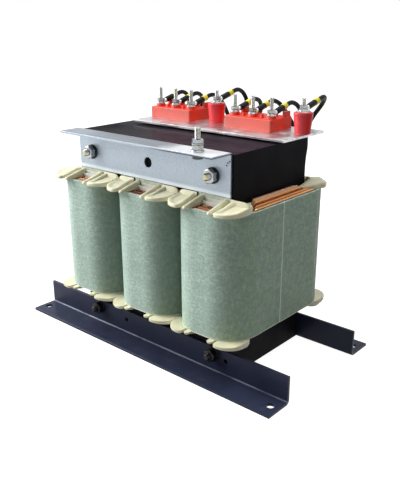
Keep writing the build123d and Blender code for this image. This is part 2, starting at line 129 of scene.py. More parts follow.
class TransformerSizes(bpy.types.PropertyGroup):
    """Sizes of the detail that is added round the solids."""

    turns_per_band: bpy.props.IntProperty(
        name="Turns per band", description="Strips of copper side by side in each band of a winding",
        default=3, min=1, max=6,
    )
    turn_gap: length("Gap between turns", 0.22, "Clear width between two strips of copper")
    turn_unevenness: length("Unevenness of turns", 0.6, "Drop from the highest strip's end to the lowest's")
    ridge_pitch: length("Ridge pitch", 2.9, "Height from one ridge of the cloth wrap to the next", least=1)
    ridge_depth: length("Ridge depth", 0.20, "How far the cloth sinks between two ridges")
    overlap_step: length("Overlap step", 0.35, "Thickness of the cloth's free end, where it laps over itself")
    leaf_dish: length("Leaf dish", 1.3, "How far the middle of a spacer's leaf lies below its rim")
    sheet_edge: length("Sheet edge", 0.35, "Rounding of the sheared edges of the metal sheets")
    moulded_edge: length("Moulded edge", 0.6, "Rounding of the edges of the moulded blocks")


class TransformerColours(bpy.types.PropertyGroup):
    """Main colours of the finishes."""

    wrap: tint("Cloth wrap", (0.61, 0.80, 0.70), "Varnished glass cloth on the coils")
    spacer: tint("Spacers", (0.80, 0.77, 0.54), "Moulded end spacers")
    copper: tint("Copper", (0.84, 0.34, 0.12), "Enamelled copper strip")
    zinc: tint("Zinc", (0.31, 0.355, 0.405), "Zinc-coated sheet of the clamps")
    rail: tint("Rail paint", (0.022, 0.027, 0.054), "Blue-black paint on the rails")
    block: tint("Terminal blocks", (0.84, 0.185, 0.150), "Moulded orange-red resin")
    insulator: tint("Insulators", (0.90, 0.090, 0.105), "Deep red resin of the stand-off insulators")
    marker: tint("Markers", (1.0, 0.90, 0.03), "Yellow rings on the leads")


class TransformerStudio(bpy.types.PropertyGroup):
    """Light and camera."""

    lens: number("Lens", 46.94, "Focal length over a 36 mm sensor along the long side", min=10, unit="CAMERA")
    yaw: angle("Yaw", 41.35, "How far the camera is turned from the back towards the left")
    pitch: angle("Pitch", 20.01, "How far the camera looks down")
    roll: angle("Roll", -0.26, "Turn of the camera round its own axis")
    ambient: number("Ambient light", 0.12, "Strength of the even light from all round", min=0)
    key: number("Key light", 114.0, "Power of the large lamp at the left", min=0, unit="POWER")
    top: number("Top light", 26.0, "Power of the wide lamp overhead", min=0, unit="POWER")


# Node materials


class Field:
    """A value that flows through a node tree, with the arithmetic that finishes need."""

    def __init__(self, nodes, socket):
        self.nodes = nodes
        self.socket = socket

    def reckon(self, operation, other=0.0):
        return self.nodes.add("ShaderNodeMath", {0: self, 1: other}, operation=operation)

    def __add__(self, other):
        return self.reckon("ADD", other)

    def __sub__(self, other):
        return self.reckon("SUBTRACT", other)

    def __mul__(self, other):
        return self.reckon("MULTIPLY", other)

    def __abs__(self):
        return self.reckon("ABSOLUTE")

    def most(self, other):
        return self.reckon("MAXIMUM", other)

    def axis(self, name):
        return self.nodes.add("ShaderNodeSeparateXYZ", {0: self}, name)

    def band(self, low, high, start=0.0, end=1.0):
        """Map a range of the value smoothly onto another, held at both ends."""
        inputs = {"Value": self, "From Min": low, "From Max": high, "To Min": start, "To Max": end}
        return self.nodes.add("ShaderNodeMapRange", inputs, interpolation_type="SMOOTHSTEP")

    def between(self, first, second):
        """The number that lies this share of the way between two others."""
        return self.nodes.add("ShaderNodeMix", {0: self, 2: first, 3: second}, data_type="FLOAT")

    def blend(self, first, second):
        """The colour that lies this share of the way between two others."""
        ends = [end if isinstance(end, Field) else (*end, 1.0) for end in (first, second)]
        return self.nodes.add("ShaderNodeMix", {0: self, 6: ends[0], 7: ends[1]}, 2, data_type="RGBA")


class Nodes:
    """A node tree that is put together from fields."""

    def __init__(self, tree):
        self.tree = tree

    def add(self, kind, inputs=None, output=0, **settings):
        node = self.tree.nodes.new(kind)
        for key, value in settings.items():
            setattr(node, key, value)
        for key, value in (inputs or {}).items():
            self.feed(node.inputs[key], value)
        return Field(self, node.outputs[output])

    def feed(self, socket, value):
        if isinstance(value, Field):
            self.tree.links.new(value.socket, socket)
        else:
            socket.default_value = value

    def seen(self):
        """1 for rays that show the background: from the camera, in gloss and through glass."""
        rays = ("Is Camera Ray", "Is Glossy Ray", "Is Transmission Ray")
        camera, gloss, glass = (self.add("ShaderNodeLightPath", output=ray) for ray in rays)
        return camera.most(gloss).most(glass)


class Finish(Nodes):
    """One node material, built round its Principled shader."""

    def __init__(self, name, roughness=0.5, **sockets):
        self.material = bpy.data.materials.new(f"{name}_finish")
        self.material.use_nodes = True
        super().__init__(self.material.node_tree)
        self.shader = self.tree.nodes["Principled BSDF"]
        self.place = self.add("ShaderNodeTexCoord", output="Object")
        self.drive(Roughness=roughness, **sockets)

    def drive(self, **sockets):
        for key, value in sockets.items():
            self.feed(self.shader.inputs[key.replace("_", " ")], value)

    def grain(self, cells, detail=3.0, roughness=0.55, distortion=0.0, place=None):
        """Fractal noise from 0 to 1, by its cells per metre: one number, or one for each axis."""
        place = place or self.place
        if isinstance(cells, tuple):
            place = self.add("ShaderNodeVectorMath", {0: place, 1: cells}, operation="MULTIPLY")
            cells = 1.0
        inputs = {"Vector": place, "Scale": cells, "Detail": detail, "Roughness": roughness}
        return self.add("ShaderNodeTexNoise", {**inputs, "Distortion": distortion})

    def axis(self, name):
        return self.place.axis(name)

    def facing(self, name):
        """How far the surface faces along an axis, from -1 to 1."""
        return self.add("ShaderNodeNewGeometry", output="Normal").axis(name)

    def layer(self, name):
        """A value that the mesh carries on its vertices."""
        return self.add("ShaderNodeAttribute", output="Fac", attribute_name=name)

    def spots(self, places, radius):
        """1 within a radius of any of the places, with a soft edge."""
        total = None
        for place in places:
            gap = self.add("ShaderNodeVectorMath", {0: self.place, 1: place}, "Value", operation="DISTANCE")
            spot = gap.band(0.6 * radius, 1.2 * radius, 1, 0)
            total = spot if total is None else total.most(spot)
        return total

    def made(self, colour, roughness, height, depth, **driven):
        """The finished material; a height of 0 to 1 stands for a relief of the depth in millimetres."""
        bump = self.add("ShaderNodeBump", {"Height": height, "Strength": 1.0, "Distance": depth * MM})
        self.drive(Base_Color=colour, Roughness=roughness, Normal=bump, **driven)
        return self.material


def shade(colour, factor):
    return tuple(min(1.0, channel * factor) for channel in colour)


def chosen(name):
    return tuple(getattr(bpy.context.scene.transformer_colours, name))


def core_black():
    finish = Finish("core_black", 0.4)
    sheets = finish.grain((3, 1400, 3), 2)
    cloud = finish.grain(26, 4)
    up = finish.facing("Z").band(0.5, 0.9)
    # Painted reflection: up-facing faces get a mauve tone that grows lighter towards +X, so the top shows
    # lighter than the near-black sides
    painted_top_sheen = finish.axis("X").band(-120 * MM, 20 * MM).blend((0.012, 0.012, 0.015), (0.066, 0.044, 0.060))
    side = cloud.blend((0.0050, 0.0052, 0.0070), (0.0085, 0.0088, 0.0110))
    body = up.blend(side, cloud.blend((0.004, 0.004, 0.006), painted_top_sheen))
    lined = sheets.band(0.45, 0.75, 0, 0.25).blend(body, (0.020, 0.017, 0.021))
    gloss = finish.grain((6.3, 14.4, 9), 2).band(0.42, 0.62, 0.20, 0.36)
    rough = up.between(cloud.band(0.3, 0.7, 0.48, 0.62), gloss)
    height = sheets * up.band(0, 1, 1, 0.15) + cloud * 0.3
    return finish.made(lined, rough, height, 0.10, Specular_IOR_Level=up.band(0, 1, 0.03, 0.0015))


def rail_paint():
    base = chosen("rail")
    finish = Finish("rail_paint", 0.36, Specular_IOR_Level=0.12)
    dust = finish.grain(60, 5, 0.7).band(0.50, 0.78, 0, 0.22) * finish.facing("Z").band(0.6, 0.95)
    body = finish.grain(16, 4).blend(shade(base, 0.85), shade(base, 1.45))
    specks = finish.grain(900, 1).band(0.70, 0.76) * 0.4
    speckled = specks.blend(dust.blend(body, (0.11, 0.11, 0.12)), (0.10, 0.10, 0.12))
    # Painted highlight: a pale stripe along each rail's inner fold, where the bend would catch the light
    fold = abs(abs(finish.axis("Y")) - RAIL_FOLD.x).band(0.4 * MM, 2.2 * MM, 1, 0)
    low = finish.axis("Z").band(RAIL_FOLD.y, RAIL_FOLD.y + 2.5 * MM, 1, 0)
    lightened = fold * low * finish.grain(30).band(0.3, 0.6, 0.35, 1)
    rough = finish.grain(40).band(0.3, 0.7, 0.28, 0.42)
    return finish.made(lightened.blend(speckled, (0.26, 0.29, 0.38)), rough, finish.grain(700, 2), 0.05)


def zinc_sheet():
    base = chosen("zinc")
    finish = Finish("zinc_sheet", 0.38, Metallic=0.85)
    along = finish.axis("X")
    height = finish.axis("Z")
    up = finish.facing("Z").band(0.5, 0.9)
    brushed = finish.grain((25, 900, 900))
    combed = finish.grain((420, 30, 14))
    spangle = finish.grain(48, 3, 0.6, 0.6)
    specks = finish.grain(460, 3, 0.7)
    rolled = finish.grain((9, 240, 240), 2).band(0.42, 0.60, 0, 0.55)
    stains = finish.grain(14, 5, 0.65).band(0.52, 0.75, 0, 0.5)
    painted_reflection_x = along + finish.grain(20, 3, 0.6) * (70 * MM)
    colour = spangle.blend(shade(base, 0.84), shade(base, 1.14))
    colour = specks.band(0.38, 0.66, 0, 0.5).blend(colour, shade(base, 1.35))
    colour = combed.band(0.35, 0.7, 0, 0.22).blend(colour, shade(base, 1.25))
    colour = (up * brushed.band(0.4, 0.65, 0, 0.5)).blend(colour, shade(base, 0.62))
    colour = (up * rolled).blend(colour, shade(base, 0.55))
    colour = stains.blend(colour, shade(base, 1.05))
    # Painted reflection: up-facing faces turn darker from the middle rightwards and bright near the right end
    # of the flange
    colour = (up * painted_reflection_x.band(-75 * MM, -30 * MM, 0, 0.55)).blend(colour, shade(base, 0.45))
    colour = (up * painted_reflection_x.band(75 * MM, 125 * MM)).blend(colour, (0.74, 0.77, 0.80))
    # Painted highlight: a pale band along the clamp's lower edge, where it catches the light
    foot = height.band(CLAMP_LOW.z + 2.5 * MM, CLAMP_LOW.z + 7 * MM, 0.85, 0)
    # Painted shadow: a thin dark stroke under the flange's front edge and round its right end; the masks
    # below build it
    front = finish.axis("Y").band(CLAMP_LOW.y + 0.3 * MM, CLAMP_LOW.y + 0.7 * MM, 0.85, 0)
    right = along.band(CLAMP_HIGH.x - 0.5 * MM, CLAMP_HIGH.x - 0.2 * MM, 0, 0.85)
    flange = height.band(CLAMP_HIGH.z - 3.6 * MM, CLAMP_HIGH.z - 3.2 * MM)
    under = height.band(CLAMP_HIGH.z - 1.7 * MM, CLAMP_HIGH.z - 1.2 * MM, 1, 0)
    painted_flange_shadow = (front * along.band(15 * MM, 75 * MM)).most(right) * under * flange
    colour = painted_flange_shadow.blend(foot.blend(colour, (0.66, 0.72, 0.77)), (0.03, 0.03, 0.035))
    colour = finish.spots(CHIPS, 1.3 * MM).blend(colour, (0.015, 0.015, 0.018))
    return finish.made(colour, spangle.band(0.3, 0.7, 0.32, 0.44) + combed * 0.12, brushed + specks, 0.014)


def bright_sheet():
    finish = Finish("bright_sheet", 0.22, Metallic=1.0)
    brushed = finish.grain((22, 1500, 1500))
    body = finish.grain(20, 4).blend((0.60, 0.60, 0.62), (0.76, 0.75, 0.76))
    sheared = brushed.band(0.35, 0.7, 0, 0.3).blend(body, (0.42, 0.42, 0.44))
    rolled = finish.grain((9, 150, 150), 2).band(0.48, 0.62, 0, 0.6)
    smears = finish.grain(35, 4, 0.6).band(0.4, 0.7, 0.30, 0.50)
    return finish.made(rolled.blend(sheared, (0.30, 0.30, 0.32)), smears, brushed, 0.010)


def marked(finish, body):
    """Yellowish ends on the clamp bolts, and the shade under the clamp's flange."""
    height = finish.axis("Z")
    top = CLAMP_HIGH.z
    forward = finish.axis("Y").band(CLAMP_LOW.y + 19.5 * MM, CLAMP_LOW.y + 20.5 * MM, 0.7, 0)
    ends = (forward * height.band(top - 16 * MM, top - 15 * MM, 1, 0)).blend(body, (0.40, 0.36, 0.15))
    shaded = height.band(top - 12.4 * MM, top - 12 * MM) * height.band(top - 3 * MM, top - 2.8 * MM, 0.9, 0)
    return shaded.blend(ends, (0.035, 0.035, 0.035))


def plated(name, first, second, roughness, marks=None):
    """Small plated steel pieces with a tint that wanders between two colours."""
    finish = Finish(name, roughness, Metallic=1.0)
    grime = finish.grain(420, 3, 0.6).band(0.52, 0.78, 0, 0.45)
    body = finish.grain(120, 3, 0.6).band(0.35, 0.65).blend(first, second)
    rough = finish.grain(260, 2).band(0.3, 0.7, roughness - 0.06, roughness + 0.14)
    colour = grime.blend(body, shade(first, 0.35))
    if marks:
        colour = marks(finish, colour)
    return finish.made(colour, rough, finish.grain(1600, 2), 0.02)


def zinc_fastener():
    return plated("zinc_fastener", (0.36, 0.39, 0.43), (0.40, 0.39, 0.33), 0.22, marked)


def lug_tin():
    return plated("lug_tin", (0.70, 0.70, 0.70), (0.60, 0.61, 0.64), 0.28)


def black_fastener():
    finish = Finish("black_fastener", 0.34, Specular_IOR_Level=0.2)
    cloud = finish.grain(200)
    worn = finish.grain(500, 4, 0.7).band(0.60, 0.76, 0, 0.6)
    colour = worn.blend(cloud.blend((0.006, 0.006, 0.008), (0.018, 0.018, 0.022)), (0.09, 0.09, 0.10))
    return finish.made(colour, cloud.band(0.3, 0.7, 0.26, 0.44), finish.grain(1400, 2), 0.03)


def fibre_board(name, low, high, roughness):
    """Pressed fibre and glass laminates, with their layers showing at the edges."""
    finish = Finish(name, roughness, Specular_IOR_Level=0.4)
    layers = finish.grain((2200, 2200, 12), 2)
    fibres = finish.grain(160, 5, 0.7)
    body = fibres.band(0.3, 0.7).blend(low, high)
    colour = layers.band(0.50, 0.75, 0, 0.45).blend(body, shade(low, 0.55))
    return finish.made(colour, fibres.band(0.3, 0.7, roughness - 0.1, roughness + 0.1), layers + fibres, 0.06)


def former_green():
    return fibre_board("former_green", (0.54, 0.62, 0.48), (0.70, 0.76, 0.62), 0.45)


def barrier_board():
    return fibre_board("barrier_board", (0.80, 0.80, 0.72), (0.95, 0.95, 0.88), 0.6)


def copper():
    """Bright enamelled strip; where it stays down between the spacers it is duller and less metallic, and
    painted dark red as shade.
    """
    base = chosen("copper")
    finish = Finish("copper", 0.30, Metallic=0.8, Coat_Weight=0.35, Coat_Roughness=0.2)
    cloud = finish.grain(70, 4, 0.6)
    body = finish.layer("turn").band(0.2, 0.9).blend(shade(base, 0.62), shade(base, 1.45))
    varied = cloud.band(0.35, 0.7, 0, 0.5).blend(body, shade(base, 0.9))
    # Painted shade: strip ends that stay low between the spacers turn dark red; they also lose metal, coat
    # and gloss there
    sunk = finish.axis("Z").band(WINDING_HIGH.z + 2.6 * MM, WINDING_HIGH.z + 4 * MM, 0.95, 0)
    dull_and_painted_shade = sunk * finish.grain(46, 3, 0.6).band(0.44, 0.58, 0.75, 1)
    return finish.made(
        dull_and_painted_shade.blend(varied, (0.075, 0.014, 0.005)), cloud.band(0.3, 0.7, 0.22, 0.42), finish.grain(500), 0.03,
        Metallic=dull_and_painted_shade.between(0.8, 0.3), Coat_Weight=dull_and_painted_shade.between(0.35, 0.0),
        Specular_IOR_Level=dull_and_painted_shade.between(0.5, 0.15),
    )


def wrap_green():
    """Woven glass cloth under varnish, measured round the coil and upwards by the map of the cloth."""
    base = chosen("wrap")
    dark = shade(base, 0.42)
    finish = Finish("wrap_green", 0.52, Specular_IOR_Level=0.14, Sheen_Weight=0.05, Sheen_Roughness=0.6)
    cloth = finish.add("ShaderNodeUVMap", uv_map="cloth")
    height = cloth.axis("Y")
    seam = finish.layer("seam")
    rightward = finish.facing("X")
    threads = math.tau / (0.95 * MM)
    weft = (height * threads).reckon("SINE")
    weave = ((cloth.axis("X") * threads).reckon("SINE") * weft).band(-1, 1)
    lines = finish.grain((16, 420, 0), 4, 0.62, place=cloth)
    coarse = finish.grain((5, 150, 0), 3, 0.6, place=cloth)
    yarns = finish.grain((420, 60, 0), 3, 0.6, place=cloth)
    mottle = finish.grain((240, 330, 0), 3, 0.7, place=cloth).band(0.36, 0.64)
    clouds = finish.grain((110, 140, 0), 3, 0.7, place=cloth).band(0.38, 0.62)
    patches = finish.grain((26, 60, 0), 2, 0.5, place=cloth).band(0.35, 0.65, 0.15, 1)
    blotch = finish.grain(17, 4, 0.6)
    warm = finish.grain((9, 9, 7.2), 3, 0.5).band(0.42, 0.72, 0, 0.32)
    colour = blotch.band(0.3, 0.7).blend(shade(base, 0.88), shade(base, 1.12))
    # Painted shade: faces turned towards +X, away from the key lamp, get a yellower green and more dark
    # cloud; the warm noise elsewhere is uneven varnish
    colour = (warm + rightward.band(0.2, 0.95, 0, 0.75)).blend(colour, (0.40, 0.58, 0.31))
    colour = (clouds * rightward.band(0.2, 0.95, 0.32, 0.80)).blend(colour, dark)
    colour = (mottle * 0.56).blend(colour, dark)
    colour = lines.band(0.44, 0.62, 0, 0.36).blend(colour, shade(base, 0.58))
    colour = (finish.layer("groove") * (patches * 0.30)).blend(colour, shade(base, 0.55))
    colour = coarse.band(0.48, 0.66, 0, 0.18).blend(colour, shade(base, 0.62))
    colour = yarns.band(0.50, 0.74, 0, 0.24).blend(colour, shade(base, 1.6))
    colour = (weave * 0.16).blend(colour, shade(base, 0.60))
    colour = seam.band(0.05, 0.70, 0, 0.95).blend(colour, (0.92, 0.98, 0.90))
    colour = seam.band(-0.75, -0.05, 0.85, 0).blend(colour, shade(base, 0.22))
    # Painted shade: the cloth of the left and middle coils darkens where it turns to face the next coil
    colour = finish.layer("gap").band(0.1, 0.9, 0, 0.6).blend(colour, shade(base, 0.18))
    foot = height.band(WRAP_LOW.z + 1.4 * MM, WRAP_LOW.z + 2.2 * MM, 0.9, 0)
    colour = foot.blend(colour, (0.80, 0.82, 0.72))
    return finish.made(colour, blotch.band(0.3, 0.7, 0.44, 0.62), weave * 0.5 + (lines + yarns), 0.16)


def spacer_cream():
    base = chosen("spacer")
    finish = Finish("spacer_cream", 0.42, Specular_IOR_Level=0.45)
    finish.drive(Subsurface_Weight=0.12, Subsurface_Scale=2 * MM)
    flow = finish.grain((420, 45, 420), 4, 0.6)
    cloud = finish.grain(55, 4, 0.6)
    soil = finish.grain(120, 4, 0.7).band(0.62, 0.82, 0, 0.5)
    body = cloud.band(0.3, 0.7).blend(shade(base, 0.90), shade(base, 1.10))
    streaked = flow.band(0.48, 0.74, 0, 0.32).blend(body, shade(base, 0.72))
    rough = cloud.band(0.3, 0.7, 0.34, 0.50)
    return finish.made(soil.blend(streaked, (0.42, 0.34, 0.18)), rough, flow + cloud * 0.6, 0.14)


def resin(name, front, side, roughness, level):
    """Moulded resin, paler on its front and deeper on its other faces as painted light and shade, with a
    faint flow pattern and pale worn spots.
    """
    finish = Finish(name, roughness, Specular_IOR_Level=level)
    cloud = finish.grain(45, 4, 0.6).band(0.3, 0.7)
    # Painted light: faces turned to the front take the paler front colour, the others the deeper side colour,
    # as lit and shaded copies of one resin
    painted_front_sheen = finish.facing("Y").band(-0.95, -0.25, 1, 0) - cloud * 0.2
    lightened = finish.grain(300, 4, 0.7).band(0.58, 0.78, 0, 0.12)
    base = painted_front_sheen.blend(side, front)
    body = ((cloud * -1 + 1) * 0.14).blend(base, (0, 0, 0))
    pale = tuple(channel + 0.16 for channel in front)
    rough = cloud.band(0, 1, roughness - 0.08, roughness + 0.10)
    return finish.made(lightened.blend(body, pale), rough, finish.grain(800, 3, 0.6), 0.03)


def terminal_red():
    red, green, blue = chosen("block")
    return resin("terminal_red", (red, green, blue), (red, green / 4, blue / 9), 0.42, 0.24)


def insulator_red():
    red, green, blue = chosen("insulator")
    return resin("insulator_red", (red, green, blue), (red, green / 3, blue / 4), 0.30, 0.14)


def rubber(name, low, high, roughness, ribs):
    finish = Finish(name, roughness, Specular_IOR_Level=0.12)
    cloud = finish.grain(150, 4, 0.6)
    rough = cloud.band(0.3, 0.7, roughness - 0.08, roughness + 0.12)
    return finish.made(cloud.band(0.35, 0.7).blend(low, high), rough, finish.grain(ribs, 3, 0.7), 0.12)


def lead_black():
    return rubber("lead_black", (0.006, 0.006, 0.007), (0.018, 0.018, 0.020), 0.48, 700)


def sleeve_black():
    return rubber("sleeve_black", (0.004, 0.004, 0.005), (0.012, 0.012, 0.014), 0.38, 260)


def marker_yellow():
    base = chosen("marker")
    finish = Finish("marker_yellow", 0.36, Specular_IOR_Level=0.45)
    cloud = finish.grain(180, 4, 0.6)
    soil = finish.grain(420, 4, 0.7).band(0.58, 0.78, 0, 0.25)
    body = cloud.band(0.3, 0.7).blend(shade(base, 0.88), shade(base, 1.1))
    colour = soil.blend(body, (0.50, 0.38, 0.03))
    return finish.made(colour, cloud.band(0.3, 0.7, 0.28, 0.46), finish.grain(900, 2), 0.03)


def studio_floor():
    """Pale floor that shows as white and keeps the object's shadow."""
    finish = Finish("studio_floor", 0.9, Specular_IOR_Level=0.0, Emission_Color=(1, 1, 1, 1))
    even = finish.grain(3, 2, 0.5, place=finish.add("ShaderNodeTexCoord", output="Generated"))
    finish.drive(Base_Color=even.blend((0.40, 0.40, 0.40), (0.44, 0.44, 0.44)))
    finish.drive(Emission_Strength=finish.seen() * 0.96)
    return finish.material


FINISHES = {
    maker.__name__: maker
    for maker in (
        core_black, rail_paint, zinc_sheet, bright_sheet, black_fastener, zinc_fastener, former_green,
        barrier_board, copper, wrap_green, spacer_cream, terminal_red, insulator_red, lead_black,
        sleeve_black, marker_yellow, lug_tin,
    )
}


def finish_of(slot):
    return bpy.data.materials.get(f"{slot}_finish") or FINISHES[slot]()


# Mesh helpers


def held(value):
    return min(1.0, max(0.0, value))


def eased(share):
    """A share from 0 to 1, made to start and end gently."""
    return share * share * (3 - 2 * share)


def squared(value):
    """A sine or cosine pushed outwards, which turns a circle into a rounded square."""
    return math.copysign(abs(value) ** 0.5, value)


def polar(radius, angle, height=0.0):
    return Vector((radius * math.cos(angle), radius * math.sin(angle), height))


def upright(x, y, z=0.0, turn=0.0):
    return Matrix.Translation((x, y, z)) @ Matrix.Rotation(turn, 4, "Z")


def modify(solid, name, kind, **settings):
    modifier = solid.modifiers.new(name, kind)
    for key, value in settings.items():
        setattr(modifier, key, value)


def dress(*nodes, edge=0.0, segments=2):
    """Give solids of the frame their finish, and round their sharp edges where edge is set."""
    for name in nodes:
        solid = frame["nodes"][name]
        solid.data.materials.clear()
        solid.data.materials.append(finish_of(SLOT_OF[name]))
        if edge:
            modify(solid, "weld", "WELD", merge_threshold=0.002 * MM)
            modify(solid, "planar", "DECIMATE", decimate_type="DISSOLVE", angle_limit=math.radians(0.5))
            rounding = {"width": edge, "segments": segments, "harden_normals": True}
            modify(solid, "edge", "BEVEL", limit_method="ANGLE", angle_limit=math.radians(40), **rounding)


def placed(name, data):
    thing = bpy.data.objects.new(name, data)
    bpy.context.scene.collection.objects.link(thing)
    return thing


def mesh_of(name, bm, material):
    mesh = bpy.data.meshes.new(name)
    bm.to_mesh(mesh)
    bm.free()
    mesh.materials.append(material)
    return mesh


def make_piece(name, bm, slot, replaced=(), sharp=38):
    """Turn a finished bmesh into a piece that rides with the object."""
    bmesh.ops.recalc_face_normals(bm, faces=bm.faces)
    mesh = mesh_of(name, bm, finish_of(slot))
    mesh.shade_smooth()
    mesh.set_sharp_from_angle(angle=math.radians(sharp))
    piece = placed(name, mesh)
    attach(piece, "root")
    if replaced:
        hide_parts(*replaced)


def bridge(bm, first, second):
    """Quads between two rings of the same count, or a fan from a single vertex."""
    for i in range(max(len(first), len(second))):
        steps = ((first, i), (first, i + 1), (second, i + 1), (second, i))
        bm.faces.new(tuple(dict.fromkeys(ring[step % len(ring)] for ring, step in steps)))


def loft(bm, rings, closed=False, capped=False):
    """Faces from ring to ring: back to the first one where closed, and over both ends where capped."""
    for first, second in zip(rings, rings[1:] + (rings[:1] if closed else [])):
        bridge(bm, first, second)
    if capped:
        bm.faces.new(rings[0])
        bm.faces.new(rings[-1])


def through(sections):
    """Vertices and faces of a solid that runs through sections of the same count."""
    count = len(sections[0])
    verts = [vert for section in sections for vert in section]
    last = len(verts) - count
    faces = [tuple(range(count)), tuple(range(last, len(verts)))]
    for one in range(last):
        two = one + 1 if (one + 1) % count else one + 1 - count
        faces.append((one, two, two + count, one + count))
    return verts, faces


def lathe(bm, place, rows, segments=32, closed=False):
    """Turn rows of (radius, height), or functions of the angle that give them, round the local Z axis."""
    rings = []
    for row in rows:
        steps = 1 if not callable(row) and row[0] == 0 else segments
        ring = []
        for i in range(steps):
            angle = math.tau * i / steps
            radius, height = row(angle) if callable(row) else row
            ring.append(bm.verts.new(place @ polar(radius, angle, height)))
        rings.append(ring)
    loft(bm, rings, closed)


def thread(bm, place, radius, low, high, pitch, tip=0.8 * MM, steps=6):
    """A screw thread along the local Z axis, with a chamfered tip."""
    depth = 0.55 * pitch
    count = max(2, round((high - low) / pitch * steps))

    def row(height):
        limit = radius - max(0.0, height - (high - tip))

        def at(angle):
            turn = (height / pitch - angle / math.tau) % 1.0
            return min(limit, radius - depth * abs(2 * turn - 1)), height

        return at

    rows = [row(low + (high - low) * i / count) for i in range(count + 1)]
    lathe(bm, place, [(0, low), *rows, (0, high)], 20)


def nut(bm, place, flats, low, high, radius=0.0):
    """A hexagon nut on a thread, with chamfered corners on both faces; a head where the radius is 0."""
    face = 0.47 * flats
    bore = 0.9 * radius
    slope = math.tan(math.radians(30))

    def side(height, way):
        def at(angle):
            reach = flats / 2 / math.cos(angle % (math.tau / 6) - math.tau / 12)
            return reach, height + way * (reach - face) * slope

        return at

    rows = [(bore, low), (face, low), side(low, 1), side(high, -1), (face, high), (bore, high)]
    lathe(bm, place, rows, 48, closed=bore > 0)


def washer(bm, place, outer, inner, low, thickness):
    edge = 0.2 * thickness
    high = low + thickness
    lower = [(inner, low), (outer - edge, low), (outer, low + edge)]
    upper = [(outer, high - edge), (outer - edge, high), (inner, high)]
    lathe(bm, place, lower + upper, 36, closed=True)


def spring_washer(bm, place, outer, inner, low, thickness):
    """A split ring that climbs a little from one end to the other."""
    gap = math.radians(14)
    segments = 30
    rings = []
    for i in range(segments + 1):
        share = i / segments
        foot = low + 0.25 * thickness * share
        top = foot + 0.75 * thickness
        angle = gap / 2 + (math.tau - gap) * share
        corners = ((inner, foot), (outer, foot), (outer, top), (inner, top))
        rings.append([bm.verts.new(place @ polar(radius, angle, height)) for radius, height in corners])
    loft(bm, rings, capped=True)


def coil_loop(distance, corner_steps, side_steps):
    """Points, outward directions and girth of the coil's section, anticlockwise from its right side."""
    share = distance / (WRAP_HALF_X - FORMER_HALF_X)
    radius = FORMER_RADIUS + share * (WRAP_RADIUS - FORMER_RADIUS)
    middle_x = FORMER_HALF_X + distance - radius
    middle_y = FORMER_HALF_Y + share * (WRAP_HALF_Y - FORMER_HALF_Y) - radius
    loop = []
    for sign_x, sign_y, start in ((1, 1, 0), (-1, 1, 90), (-1, -1, 180), (1, -1, 270)):
        for step in range(corner_steps + 1):
            out = polar(1, math.radians(start + 90 * step / corner_steps)).xy
            loop.append((Vector((sign_x * middle_x, sign_y * middle_y)) + radius * out, out))
    result = []
    girth = 0.0
    for index, (point, out) in enumerate(loop):
        following = loop[(index + 1) % len(loop)][0]
        steps = 1 if (index + 1) % (corner_steps + 1) else side_steps
        length = (following - point).length / steps
        for step in range(steps):
            result.append((point.lerp(following, step / steps), out, girth))
            girth += length
    return result


# Operators


class TRANSFORMER_OT_paint_core(bpy.types.Operator):
    """Paint the laminated core and its upper yoke"""

    bl_idname = "transformer.paint_core"
    bl_label = "Paint Core"

    def execute(self, context):
        dress("core_limbs", "core_upper_yoke", edge=context.scene.transformer_sizes.sheet_edge)
        return {"FINISHED"}


class TRANSFORMER_OT_paint_rails(bpy.types.Operator):
    """Paint the two base rails"""

    bl_idname = "transformer.paint_rails"
    bl_label = "Paint Rails"

    def execute(self, context):
        dress("front_rail", "rear_rail", edge=context.scene.transformer_sizes.sheet_edge)
        return {"FINISHED"}


class TRANSFORMER_OT_plate_sheets(bpy.types.Operator):
    """Finish the folded clamps and the terminal plate as bare metal sheet"""

    bl_idname = "transformer.plate_sheets"
    bl_label = "Finish Sheets"

    def execute(self, context):
        dress("front_clamp", "rear_clamp", "terminal_plate", edge=context.scene.transformer_sizes.sheet_edge)
        return {"FINISHED"}


class TRANSFORMER_OT_fit_through_bolts(bpy.types.Operator):
    """Make the through bolts of the rails and clamps with threads, nuts and washers"""

    bl_idname = "transformer.fit_through_bolts"
    bl_label = "Fit Through Bolts"

    radius = 5 * MM
    pitch = 1.5 * MM
    flats = 17 * MM
    nut_height = 8 * MM
    washer_radius = 10.5 * MM
    washer_thickness = 2 * MM
    end = 6 * MM
    tip = 1.8 * MM

    # Distance from the core's middle to the sheet that each bolt's washer lies on, behind its flange
    seats = {"rail_bolts": -RAIL_LOW.y - 40 * MM, "clamp_bolts": -CLAMP_LOW.y - 35 * MM}

    def execute(self, context):
        spread = random.Random(4)
        low_nut = self.washer_thickness
        high_nut = low_nut + self.nut_height
        for node, seat in self.seats.items():
            low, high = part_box(node)
            bm = bmesh.new()
            rings = bmesh.new()
            for x in (low.x + self.washer_radius, high.x - self.washer_radius):
                for side in (-1, 1):
                    facing = Matrix.Rotation(math.radians(90) * -side, 4, "X")
                    turned = Matrix.Rotation(spread.uniform(0, math.tau), 4, "Z")
                    place = Matrix.Translation((x, side * seat, (low.z + high.z) / 2)) @ facing @ turned
                    washer(rings, place, self.washer_radius, self.radius, 0.0, self.washer_thickness)
                    nut(bm, place, self.flats, low_nut, high_nut, self.radius)
                    thread(bm, place, self.radius, -seat, high_nut + self.end, self.pitch, self.tip, steps=4)
            make_piece(f"threaded_{node}", bm, SLOT_OF[node], [node])
            make_piece(f"washers_{node}", rings, "black_fastener")
        return {"FINISHED"}


